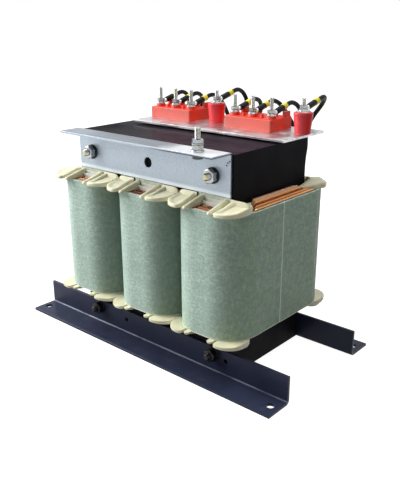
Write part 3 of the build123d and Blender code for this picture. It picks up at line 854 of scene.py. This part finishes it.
class TRANSFORMER_OT_fit_small_bolts(bpy.types.Operator):
    """Make the earth stud and the bolts of the terminal plate"""

    bl_idname = "transformer.fit_small_bolts"
    bl_label = "Fit Earth Stud and Plate Bolts"

    radius = 4 * MM
    pitch = 1.25 * MM
    flats = 13 * MM
    height = 6.5 * MM
    lock_gap = 1.8 * MM
    lock_height = 5 * MM
    washer_radius = 8.5 * MM
    washer_thickness = 1.6 * MM
    spring_radius = 7.4 * MM
    spring_thickness = 1.6 * MM
    clamp_sheet = 3 * MM
    stud_turn = 0.35

    def earth_stud(self):
        low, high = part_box("earth_stud")
        place = upright((low.x + high.x) / 2, (low.y + high.y) / 2, CLAMP_HIGH.z, self.stud_turn)
        bm = bmesh.new()
        nut(bm, place, self.flats, -self.clamp_sheet - self.height, -self.clamp_sheet)
        thread(bm, place, self.radius, -self.clamp_sheet, high.z - CLAMP_HIGH.z, self.pitch)
        washer(bm, place, self.washer_radius, self.radius, 0.0, self.washer_thickness)
        top = self.washer_thickness + self.height
        nut(bm, place, self.flats, self.washer_thickness, top, self.radius)
        spring_washer(bm, place, self.spring_radius, self.radius, top, self.spring_thickness)
        lock = top + self.lock_gap
        nut(bm, place, self.flats, lock, lock + self.lock_height, self.radius)
        make_piece("threaded_earth_stud", bm, "zinc_fastener", ["earth_stud"])

    def plate_bolts(self):
        low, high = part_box("plate_bolts")
        corner = self.flats / 2 / math.cos(math.radians(30))
        bm = bmesh.new()
        for x in (low.x + corner, high.x - corner):
            place = upright(x, (low.y + high.y) / 2)
            nut(bm, place, self.flats, low.z, low.z + self.height, self.radius)
            nut(bm, place, self.flats, high.z - self.height, high.z)
            thread(bm, place, self.radius, low.z, high.z - self.height / 2, self.pitch, steps=4)
        make_piece("threaded_plate_bolts", bm, "zinc_fastener", ["plate_bolts"])

    def execute(self, context):
        self.earth_stud()
        self.plate_bolts()
        return {"FINISHED"}


class TRANSFORMER_OT_fit_terminal_studs(bpy.types.Operator):
    """Make the studs of the terminal blocks and insulators with threads, washers and nuts"""

    bl_idname = "transformer.fit_terminal_studs"
    bl_label = "Fit Terminal Studs"

    radius = 3 * MM
    pitch = 1 * MM
    flats = 10 * MM
    nut_height = 4.3 * MM
    washer_radius = 6.5 * MM
    washer_thickness = 1.0 * MM
    spring_radius = 5.1 * MM
    spring_thickness = 1.3 * MM
    cap_radius = 10 * MM
    cap_thickness = 1.6 * MM

    def stud(self, bm, x, y, seat, top, turn):
        place = upright(x, y, seat, turn)
        low = LUG_THICKNESS
        washer(bm, place, self.washer_radius, self.radius, low, self.washer_thickness)
        low += self.washer_thickness
        spring_washer(bm, place, self.spring_radius, self.radius, low, self.spring_thickness)
        low += self.spring_thickness
        nut(bm, place, self.flats, low, low + self.nut_height, self.radius)
        thread(bm, place, self.radius, PLATE_TOP - seat, top - seat, self.pitch)

    def execute(self, context):
        spread = random.Random(11)
        for side, places in BLOCK_STUDS.items():
            node = f"terminal_studs_{side}"
            bm = bmesh.new()
            for x, y in places:
                self.stud(bm, x, y, PAD_TOP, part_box(node)[1].z, spread.uniform(0, math.tau))
            make_piece(f"threaded_{node}", bm, SLOT_OF[node], [node])
        bm = bmesh.new()
        for x, y in NEUTRAL_STUDS:
            cap_low = CAP_SEAT - self.cap_thickness
            washer(bm, upright(x, y), self.cap_radius, self.radius, cap_low, self.cap_thickness)
            self.stud(bm, x, y, CAP_SEAT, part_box("neutral_studs")[1].z, spread.uniform(0, math.tau))
        make_piece("threaded_neutral_studs", bm, "zinc_fastener", ["neutral_studs"])
        return {"FINISHED"}


class TRANSFORMER_OT_wind_coils(bpy.types.Operator):
    """Wind the copper strips of every coil, and finish the formers and barriers"""

    bl_idname = "transformer.wind_coils"
    bl_label = "Wind Coils"

    # How far the bands of each winding stand up where no spacer covers them, beside the core and before it
    side_lift = {"inner_winding": (9.5 * MM, 7.6 * MM), "outer_winding": (5.2 * MM, 4.4 * MM)}
    front_lift = {"inner_winding": (3.0 * MM, 3.0 * MM), "outer_winding": (2.8 * MM, 2.2 * MM)}

    # Thin white sheets: their inner and outer distance, and how far they stand up at the same two places
    sheets = ((0.04 * MM, 0.26 * MM, 5.0 * MM, 11.0 * MM), (4.92 * MM, 5.48 * MM, 9.4 * MM, 8.2 * MM))

    # The free stretch beside the core, up to the leaf's diagonal cut, and the window between two fingers
    leaf_corner = 3.4 * MM
    leaf_reach = 32.5 * MM
    cut_slope = 1.14
    side_ramp = 3 * MM
    window_half = 15.4 * MM
    window_ramp = 1.2 * MM
    rounding = 0.3 * MM

    def rise(self, point, side, front):
        """Extra height of a winding's end at a point, with ramps beside the spacers."""
        x, y = abs(point.x), abs(point.y)
        if y < FORMER_HALF_Y:
            beyond = max(0.0, x - FORMER_HALF_X - self.leaf_corner)
            cut = FORMER_HALF_Y - self.leaf_reach + self.cut_slope * beyond
            return side * held((cut - y) / self.side_ramp)
        return front * held((self.window_half - x) / self.window_ramp)

    def strip(self, bm, x, inner, outer, high, side, front, tint=0.0):
        edge = min(self.rounding, (outer - inner) / 4)
        low = WINDING_LOW.z
        rows = (
            (inner, low, 0), (inner, high - edge, 1), (inner + edge, high, 1),
            (outer - edge, high, 1), (outer, high - edge, 1), (outer, low, 0),
        )
        layer = bm.verts.layers.float.get("turn") or bm.verts.layers.float.new("turn")
        rings = []
        for distance, height, lifted in rows:
            ring = []
            for point, _, _ in coil_loop(distance, corner_steps=10, side_steps=40):
                vert = bm.verts.new((x + point.x, point.y, height + lifted * self.rise(point, side, front)))
                vert[layer] = tint
                ring.append(vert)
            rings.append(ring)
        loft(bm, rings, closed=True)

    def execute(self, context):
        sizes = context.scene.transformer_sizes
        spread = random.Random(7)
        for coil, x in COIL_X.items():
            for winding, bands in TURN_BANDS.items():
                bm = bmesh.new()
                lifts = zip(bands, self.side_lift[winding], self.front_lift[winding])
                for (start, end), side, front in lifts:
                    pitch = (end - start + sizes.turn_gap) / sizes.turns_per_band
                    for index in range(sizes.turns_per_band):
                        inner = start + index * pitch
                        outer = inner + pitch - sizes.turn_gap
                        top = WINDING_HIGH.z - spread.uniform(0, sizes.turn_unevenness)
                        self.strip(bm, x, inner, outer, top, side, front, spread.random())
                make_piece(f"turns_{coil}_{winding}", bm, "copper", [f"coil_{coil}_{winding}"])
            bm = bmesh.new()
            for inner, outer, side, front in self.sheets:
                self.strip(bm, x, inner, outer, WINDING_HIGH.z, side, front)
            make_piece(f"end_sheets_{coil}", bm, "barrier_board")
            dress(f"coil_{coil}_former", f"coil_{coil}_barrier", edge=0.25 * MM)
        return {"FINISHED"}


class TRANSFORMER_OT_wrap_coils(bpy.types.Operator):
    """Wrap every coil in ridged glass cloth that laps over itself on one side"""

    bl_idname = "transformer.wrap_coils"
    bl_label = "Wrap Coils"

    thickness = 3.2 * MM
    rounding = 0.7 * MM
    rows_per_ridge = 4
    corner_steps = 16
    side_steps = 30

    # The overlap on the right-hand side: its two edges, their width and the close points beside each
    facing_right = 0.9
    seams = (-12 * MM, 73 * MM)
    seam_width = 0.5 * MM
    lap_steps = tuple(step * MM for step in (-1.9, -0.8, 0.0, 0.5, 1.5, 2.7))

    # The pale fray beside both edges, and the shadow beside the free one: places and half widths
    frays = (0.4 * MM, -0.8 * MM)
    fray_width = 1.1 * MM
    shadow = 1.5 * MM
    shadow_width = 1.2 * MM

    # Cells of noise per metre, round the coil and upwards, for the ridges' sway and for their unevenness
    sway_cells = (14, 30)
    wave_cells = (40, 90)
    sway = 2.2
    least_ridge = 0.55
    fuzz = 0.12 * MM

    def with_laps(self, loop):
        """The loop with close points added on both sides of each edge of the overlap."""
        steps = [seam + step for seam in self.seams for step in self.lap_steps]
        result = []
        for index, (point, out, girth) in enumerate(loop):
            result.append((point, out, girth))
            following = loop[(index + 1) % len(loop)][0]
            for y in steps:
                if out.x > self.facing_right and point.y < y < following.y:
                    share = (y - point.y) / (following.y - point.y)
                    result.append((point.lerp(following, share), out, girth + y - point.y))
        return result

    def starts(self, point, out):
        """Whether a point lies on the free edge of the cloth."""
        return out.x > self.facing_right and abs(point.y - self.seams[1]) < 0.01 * MM

    def lap(self, point, out):
        """The overlap's share at a point, and 1 on its pale edges, -1 in the shadow beside them, else 0."""
        if out.x < self.facing_right:
            return 0.0, 0.0
        first, second = (point.y - seam for seam in self.seams)
        share = min(held(first / self.seam_width), held(-second / self.seam_width))
        fray = min(abs(first - self.frays[0]), abs(second - self.frays[1]))
        dark = held(1 - abs(second - self.shadow) / self.shadow_width)
        return share, held(1 - fray / self.fray_width) or -dark

    def stray(self, girth, height, cells, seed):
        """Smooth noise from -1 to 1 over the cloth."""
        return noise.noise(Vector((girth * cells[0], height * cells[1], seed)))

    def ridges(self, sizes, girth, height, order):
        """How far the cloth sinks at a place, and how deep it lies in a groove there, from 0 to 1."""
        turn = (height - WRAP_LOW.z) / sizes.ridge_pitch * math.tau
        turn += self.sway * self.stray(girth, height, self.sway_cells, 5.0 * order)
        ridge = 0.5 - 0.5 * math.cos(turn)
        wave = 0.5 + 0.5 * self.stray(girth, height, self.wave_cells, 9.0 * order)
        depth = sizes.ridge_depth * (self.least_ridge + (1 - self.least_ridge) * wave)
        return ridge * depth + self.fuzz * wave, ridge * ridge

    def execute(self, context):
        sizes = context.scene.transformer_sizes
        low, high = WRAP_LOW.z, WRAP_HIGH.z
        distance = WRAP_HALF_X - FORMER_HALF_X
        outer, inner = (
            self.with_laps(coil_loop(reach, self.corner_steps, self.side_steps))
            for reach in (distance, distance - self.thickness)
        )
        whole = outer[-1][2] + (outer[0][0] - outer[-1][0]).length
        begin = next(girth for point, out, girth in outer if self.starts(point, out))
        count = round((high - low) / sizes.ridge_pitch) * self.rows_per_ridge
        start = low + self.rounding / 2
        span = high - low - self.rounding
        for order, coil in enumerate(COILS):
            bm = bmesh.new()
            layers = bm.verts.layers.float
            along, groove, seam, gap = (layers.new(name) for name in ("along", "groove", "seam", "gap"))
            # The gap layer marks, for painted shade, where the left and middle coils face their right-hand
            # neighbour
            inward = 0.0 if coil == COILS[-1] else 1.0

            def ring(points, height, depth=None):
                """One row of the cloth: ridged, or flat at a depth."""
                verts = []
                for (point, out, girth), (_, _, measure) in zip(points, outer):
                    share, edge = self.lap(point, out)
                    sunk, dark = depth, 0.0
                    if depth is None:
                        sunk, dark = self.ridges(sizes, girth, height, order)
                        sunk -= share * sizes.overlap_step
                    place = point - out * sunk
                    vert = bm.verts.new((COIL_X[coil] + place.x, place.y, height))
                    vert[along] = (measure - begin) % whole
                    vert[groove] = dark
                    vert[seam] = edge
                    vert[gap] = inward * max(0.0, out.x)
                    verts.append(vert)
                return verts

            rings = [ring(inner, low, 0.0), ring(outer, low, self.rounding)]
            rings += [ring(outer, start + span * index / count) for index in range(count + 1)]
            rings += [ring(outer, high, self.rounding), ring(inner, high, 0.0)]
            loft(bm, rings, closed=True)
            cloth = bm.loops.layers.uv.new("cloth")
            for face in bm.faces:
                least = min(corner.vert[along] for corner in face.loops)
                for corner in face.loops:
                    measure = corner.vert[along]
                    if least < whole / 4 and measure > 3 * whole / 4:
                        measure -= whole
                    corner[cloth].uv = (measure, corner.vert.co.z)
            make_piece(f"cloth_{coil}", bm, "wrap_green", [f"coil_{coil}_wrap"], sharp=60)
        return {"FINISHED"}


class TRANSFORMER_OT_set_spacers(bpy.types.Operator):
    """Mould the dished leaves, ribs and fingers at both ends of every coil"""

    bl_idname = "transformer.set_spacers"
    bl_label = "Set Spacers"

    leaf_thickness = 4 * MM
    leaf_inner = 28 * MM
    leaf_side = 58.2 * MM
    leaf_tip_overhang = 10 * MM
    leaf_roundness = 24 * MM
    leaf_rim = 1.4 * MM
    leaf_rear_reach = 31 * MM
    leaf_cut = 26 * MM
    leaf_rise = 5 * MM
    rise_length = 28 * MM
    rear_tip_overhang = 1 * MM
    rear_roundness = 29 * MM
    rear_rim = 3.5 * MM
    rear_dome = 3.0 * MM
    clearance = 0.4 * MM
    finger_offset = 20 * MM
    finger_radius = 4 * MM
    finger_overhang = 8 * MM
    finger_rise = 8 * MM
    lip_foot = 2 * MM

    # Places along the lip where it drops, and how far
    lip_ends = ((49 * MM, 0.0), (53 * MM, 0.5 * MM), (56 * MM, 2.2 * MM), (57.6 * MM, 5.2 * MM))

    # The dish's start and ramp inwards from the rim, and the spacing of the leaf's points
    dish_start = 2 * MM
    dish_ramp = 6.5 * MM
    rim_rows = (0.35 * MM, 0.8 * MM, 1.5 * MM)
    arc_step = 1.6 * MM
    grid = 2.2 * MM
    grid_margin = 2.4 * MM
    back = FORMER_HALF_Y + clearance

    def outline(self, overhang, roundness):
        """The leaf's outline seen from above, with x outwards and y away from the core."""
        tip = WRAP_HALF_Y + overhang
        root = FORMER_HALF_X + self.clearance
        rear = self.back - self.leaf_rear_reach
        # Each corner, with the radius that rounds it
        corners = (
            (self.leaf_inner, self.back, 0.4 * MM), (self.leaf_inner, tip, 5 * MM),
            (self.leaf_side, tip, roundness), (self.leaf_side, rear + self.leaf_cut, 9 * MM),
            (root + 3 * MM, rear, 1.2 * MM), (root, rear, 0.4 * MM), (root, self.back, 0.0),
        )
        points = []
        for index, (x, y, radius) in enumerate(corners):
            corner = Vector((x, y))
            before = (Vector(corners[index - 1][:2]) - corner).normalized()
            after = (Vector(corners[(index + 1) % len(corners)][:2]) - corner).normalized()
            if radius == 0:
                points.append(corner)
                continue
            centre = corner + (before + after) * radius
            steps = max(3, round(radius / self.arc_step))
            for step in range(steps + 1):
                angle = math.pi / 2 * step / steps
                points.append(centre - after * radius * math.cos(angle) - before * radius * math.sin(angle))
        filled = []
        for point, following in zip(points, points[1:] + points[:1]):
            parts = max(1, round((following - point).length / self.grid))
            filled += [point.lerp(following, part / parts) for part in range(parts)]
        return filled

    def swell(self, y):
        """How far the leaf rises towards the core's face, and falls again behind it."""
        tip = WRAP_HALF_Y + self.leaf_tip_overhang
        before = held((tip - y) / (tip - self.back))
        behind = held(1 - (self.back - y) / self.rise_length)
        return self.leaf_rise * min(before, eased(behind))

    def lip(self):
        """Vertices and faces of the low wall that stands on the leaf along the core's face."""
        foot = self.lip_foot
        top = LIP_TOP - WRAP_HIGH.z
        profile = (
            (0.0, foot), (0.0, top - 0.3 * MM), (0.3 * MM, top), (0.9 * MM, top), (1.3 * MM, top - 0.4 * MM),
            (1.8 * MM, 9.8 * MM), (3.4 * MM, 7.8 * MM), (3.6 * MM, foot),
        )
        sections = []
        for x, drop in ((self.leaf_inner, 0.0), *self.lip_ends):
            height = 1 - drop / (top - foot)
            sections.append([Vector((x, self.back + y, foot + height * (z - foot))) for y, z in profile])
        return through(sections)

    def leaf(self, dish, overhang, roundness, rim):
        """Vertices and faces of one leaf, from its underside at height 0; a negative dish domes it."""
        outline = self.outline(overhang, roundness)
        count = len(outline)
        sides = list(zip(outline, outline[1:] + outline[:1]))

        def distance(point):
            best = 1.0
            for first, second in sides:
                share = held(geometry.intersect_point_line(point, first, second)[1])
                best = min(best, (point - first.lerp(second, share)).length)
            return best

        def inside(point):
            crossed = False
            for first, second in sides:
                if (first.y > point.y) != (second.y > point.y):
                    share = (point.y - first.y) / (second.y - first.y)
                    crossed ^= point.x < first.x + share * (second.x - first.x)
            return crossed

        points = list(outline)
        for depth in self.rim_rows:
            for index, point in enumerate(outline):
                along = outline[(index + 1) % count] - outline[index - 1]
                inward = Vector((along.y, -along.x)).normalized() * depth
                near = (point + inward, point - inward)
                points += [place for place in near if inside(place) and distance(place) > 0.93 * depth]
        low = Vector([min(values) for values in zip(*outline)])
        high = Vector([max(values) for values in zip(*outline)])
        columns, rows = (int(reach / self.grid) + 1 for reach in high - low)
        for i in range(columns):
            for j in range(rows):
                place = low + Vector(((i + 0.5 * (j % 2)) * self.grid, j * self.grid))
                if inside(place) and distance(place) > self.grid_margin:
                    points.append(place)
        borders = [(i, (i + 1) % count) for i in range(count)]
        flat, _, faces, *_ = geometry.delaunay_2d_cdt(points, borders, [], 1, 1e-7)
        verts = []
        for point in flat:
            depth = distance(point)
            near = max(0.0, rim - depth)
            rounding = rim - math.sqrt(rim**2 - near**2)
            hollow = dish * eased(held((depth - self.dish_start) / self.dish_ramp))
            height = self.leaf_thickness + self.swell(point.y) - rounding - hollow
            verts.append(Vector((point.x, point.y, height)))
        base = len(verts)
        verts += [Vector((point.x, point.y, 0.0)) for point in flat]
        skin = [tuple(face) for face in faces]
        skin += [tuple(base + i for i in reversed(face)) for face in faces]
        edges = collections.Counter(
            (min(pair), max(pair)) for face in faces for pair in zip(face, (*face[1:], face[0]))
        )
        skin += [(one, two, base + two, base + one) for (one, two), times in edges.items() if times == 1]
        return verts, skin

    def finger(self, offset, foot):
        """Vertices and faces of one rib or finger, rising from its round tip to the former."""
        tip = WRAP_HALF_Y + self.finger_overhang - self.finger_radius
        tip_steps, back_steps, arc_steps = 5, 8, 12
        rows = []
        for step in range(tip_steps):
            angle = math.pi / 2 * (1 - step / tip_steps)
            place = polar(self.finger_radius, angle)
            rows.append((tip + place.y, place.x, 0.0))
        for step in range(back_steps + 1):
            share = step / back_steps
            rows.append((tip + (self.back - tip) * share, self.finger_radius, self.finger_rise * share))
        sections = []
        for y, radius, rise in rows:
            radius = max(radius, 0.05 * MM)
            half = radius * (1.0 + 0.05 * math.sin(y * 260.0 + offset * 900.0))
            section = [Vector((offset - half, y, foot))]
            for step in range(arc_steps + 1):
                angle = math.pi * (1 - step / arc_steps)
                height = rise + radius * max(0.0, math.sin(angle)) ** 0.8
                section.append(Vector((offset + half * math.cos(angle), y, max(foot, height))))
            section.append(Vector((offset + half, y, foot)))
            sections.append(section)
        return through(sections)

    def execute(self, context):
        dish = context.scene.transformer_sizes.leaf_dish
        rib = self.finger(self.leaf_inner + self.finger_radius, 0.4 * MM)
        finger = self.finger(self.finger_offset, 0.0)
        plain = self.leaf(dish, self.leaf_tip_overhang, self.leaf_roundness, self.leaf_rim)
        domed = self.leaf(-self.rear_dome, self.rear_tip_overhang, self.rear_roundness, self.rear_rim)
        for coil, middle in COIL_X.items():
            for end, height, sign_z in (("top", WRAP_HIGH.z, 1), ("bottom", WRAP_LOW.z, -1)):
                kinds = {-1: [plain], 1: [plain]}
                if end == "top":
                    kinds = {-1: [plain, self.lip()], 1: [domed]}
                bm = bmesh.new()
                for sign_x in (-1, 1):
                    for sign_y in (-1, 1):
                        for verts, faces in (rib, finger, *kinds[sign_y]):
                            made = [
                                bm.verts.new((middle + sign_x * x, sign_y * y, height + sign_z * z))
                                for x, y, z in verts
                            ]
                            for face in faces:
                                bm.faces.new([made[i] for i in face])
                node = f"coil_{coil}_{end}_spacers"
                make_piece(f"moulded_{coil}_{end}_spacers", bm, "spacer_cream", [node], sharp=50)
        return {"FINISHED"}


class TRANSFORMER_OT_mould_terminals(bpy.types.Operator):
    """Finish the moulded terminal blocks and the stand-off insulators"""

    bl_idname = "transformer.mould_terminals"
    bl_label = "Mould Terminals"

    def execute(self, context):
        edge = context.scene.transformer_sizes.moulded_edge
        dress("terminal_block_left", "terminal_block_right", edge=edge, segments=3)
        dress("neutral_insulators")
        return {"FINISHED"}


class TRANSFORMER_OT_connect_leads(bpy.types.Operator):
    """Make the lugs, sleeves and yellow markers of the leads, and finish the leads"""

    bl_idname = "transformer.connect_leads"
    bl_label = "Connect Leads"

    ring_radius = 6.5 * MM
    hole_radius = 3.2 * MM
    neck_half = 3.4 * MM
    neck_start = 4.6 * MM
    barrel_radius = 3.2 * MM
    barrel_length = 5 * MM
    sleeve_end = 20 * MM
    marker_end = 28 * MM

    def neck(self, bm, x, y, z, barrel):
        """The lug's neck, from its flat ring to its round barrel."""
        count = 16
        half = LUG_THICKNESS / 2
        sections = []
        for share in (0.0, 0.25, 0.5, 0.75, 1.0):
            ring = []
            for i in range(count):
                angle = math.tau * i / count
                across = self.neck_half * squared(math.cos(angle))
                up = half + half * squared(math.sin(angle))
                flat = Vector((x + across, y + self.neck_start, z + up))
                ring.append(bm.verts.new(flat.lerp(barrel @ polar(self.barrel_radius, angle), eased(share))))
            sections.append(ring)
        loft(bm, sections, capped=True)

    def execute(self, context):
        lugs, sleeves, markers = bmesh.new(), bmesh.new(), bmesh.new()
        radius, end = self.barrel_radius, self.barrel_length
        start, stop, last = 0.55 * end, self.sleeve_end, self.marker_end
        # Profiles of radius and height along the barrel
        barrel = [(0, 0), (radius, 0), (radius, 0.6 * end), (radius, end), (0, end)]
        sleeve = [
            (3.2 * MM, start), (3.7 * MM, start + 0.1 * MM), (3.95 * MM, start + 0.8 * MM), (4.05 * MM, end),
            (4.3 * MM, end + 2.5 * MM), (4.22 * MM, end + 7 * MM), (4.3 * MM, stop - 1.2 * MM),
            (4.1 * MM, stop - 0.3 * MM), (3.3 * MM, stop),
        ]
        marker = [
            (3.3 * MM, stop), (4.3 * MM, stop), (4.6 * MM, stop + 0.4 * MM), (4.6 * MM, stop + 1.2 * MM),
            (4.45 * MM, stop + 1.8 * MM), (4.45 * MM, last - 1.8 * MM), (4.6 * MM, last - 1.2 * MM),
            (4.6 * MM, last - 0.4 * MM), (4.3 * MM, last), (3.3 * MM, last),
        ]
        for x, y, z in LUG_SEATS:
            tilt = Matrix.Rotation(LUG_TILT - math.pi / 2, 4, "X")
            place = Matrix.Translation(Vector((x, y, z)) + LUG_START) @ tilt
            washer(lugs, upright(x, y, z), self.ring_radius, self.hole_radius, 0.0, LUG_THICKNESS)
            self.neck(lugs, x, y, z, place)
            lathe(lugs, place, barrel, 20)
            lathe(sleeves, place, sleeve, 24, closed=True)
            lathe(markers, place, marker, 28, closed=True)
        make_piece("crimped_lugs", lugs, "lug_tin", ["lead_lugs"])
        make_piece("shrunk_sleeves", sleeves, "sleeve_black", ["lead_sleeves"])
        make_piece("yellow_markers", markers, "marker_yellow", ["lead_markers"])
        dress("phase_leads", "neutral_leads")
        return {"FINISHED"}


class TRANSFORMER_OT_set_studio(bpy.types.Operator):
    """Lay the pale floor, set the lamps and place the camera"""

    bl_idname = "transformer.set_studio"
    bl_label = "Set Studio"

    camera_place = (0.62598, -0.68847, 0.46789)
    reach = 14.0
    level = -0.02 * MM

    def floor(self):
        bm = bmesh.new()
        corners = ((-1, -1), (1, -1), (1, 1), (-1, 1))
        bm.faces.new([bm.verts.new((x * self.reach, y * self.reach, self.level)) for x, y in corners])
        placed("studio_floor", mesh_of("studio_floor", bm, studio_floor()))

    def world(self, strength):
        world = bpy.data.worlds.new("studio_world")
        bpy.context.scene.world = world
        world.use_nodes = True
        nodes = Nodes(world.node_tree)
        background = world.node_tree.nodes["Background"]
        nodes.feed(background.inputs["Color"], (1, 1, 1, 1))
        nodes.feed(background.inputs["Strength"], nodes.seen().between(strength, 1.0))

    def lamp(self, name, place, target, side, power):
        data = bpy.data.lights.new(name, "AREA")
        data.size = side
        data.energy = power
        lamp = placed(name, data)
        lamp.location = place
        lamp.rotation_mode = "QUATERNION"
        lamp.rotation_quaternion = (Vector(target) - Vector(place)).to_track_quat("-Z", "Y")

    def camera(self, studio):
        data = bpy.data.cameras.new("studio_camera")
        data.lens = studio.lens
        data.sensor_width = 36.0
        data.clip_start = 0.01
        data.clip_end = 100.0
        yaw, pitch, roll = studio.yaw, studio.pitch, studio.roll
        ahead = Vector((-math.sin(yaw) * math.cos(pitch), math.cos(yaw) * math.cos(pitch), -math.sin(pitch)))
        right = ahead.cross(Vector((0, 0, 1))).normalized()
        above = right.cross(ahead)
        turned_right = right * math.cos(roll) + above * math.sin(roll)
        turned_above = above * math.cos(roll) - right * math.sin(roll)
        turn = Matrix((turned_right, turned_above, -ahead)).transposed()
        camera = placed("studio_camera", data)
        camera.matrix_world = Matrix.Translation(self.camera_place) @ turn.to_4x4()
        bpy.context.scene.camera = camera

    def execute(self, context):
        studio = context.scene.transformer_studio
        context.scene.view_settings.view_transform = "Standard"
        self.floor()
        self.world(studio.ambient)
        self.lamp("key_lamp", (-2.02, -0.88, 1.5), (0.0, 0.0, 0.15), 1.8, studio.key)
        self.lamp("top_lamp", (0.35, 0.30, 2.3), (0.0, 0.0, 0.25), 1.6, studio.top)
        self.camera(studio)
        return {"FINISHED"}


PIECE_OPERATORS = (
    TRANSFORMER_OT_paint_core,
    TRANSFORMER_OT_paint_rails,
    TRANSFORMER_OT_plate_sheets,
    TRANSFORMER_OT_fit_through_bolts,
    TRANSFORMER_OT_fit_small_bolts,
    TRANSFORMER_OT_fit_terminal_studs,
    TRANSFORMER_OT_wind_coils,
    TRANSFORMER_OT_wrap_coils,
    TRANSFORMER_OT_set_spacers,
    TRANSFORMER_OT_mould_terminals,
    TRANSFORMER_OT_connect_leads,
    TRANSFORMER_OT_set_studio,
)


class TRANSFORMER_PT_dressing(bpy.types.Panel):
    """Lists the sizes, colours and pieces of the transformer"""

    bl_idname = "TRANSFORMER_PT_dressing"
    bl_label = "Transformer"
    bl_space_type = "VIEW_3D"
    bl_region_type = "UI"
    bl_category = "Transformer"

    def draw(self, context):
        for name, group in GROUPS.items():
            box = self.layout.box()
            for key in group.__annotations__:
                box.prop(getattr(context.scene, name), key)
        for operator in PIECE_OPERATORS:
            self.layout.operator(operator.bl_idname)


GROUPS = {
    "transformer_sizes": TransformerSizes,
    "transformer_colours": TransformerColours,
    "transformer_studio": TransformerStudio,
}


def register():
    for group in GROUPS.values():
        bpy.utils.register_class(group)
    for operator in (*PIECE_OPERATORS, TRANSFORMER_PT_dressing):
        bpy.utils.register_class(operator)
    for name, group in GROUPS.items():
        setattr(bpy.types.Scene, name, bpy.props.PointerProperty(type=group))


def unregister():
    for name in GROUPS:
        delattr(bpy.types.Scene, name)
    for operator in (*PIECE_OPERATORS, TRANSFORMER_PT_dressing):
        bpy.utils.unregister_class(operator)
    for group in GROUPS.values():
        bpy.utils.unregister_class(group)


def main():
    register()
    for operator in PIECE_OPERATORS:
        family, name = operator.bl_idname.split(".")
        getattr(getattr(bpy.ops, family), name)()


if __name__ == "__main__":
    main()
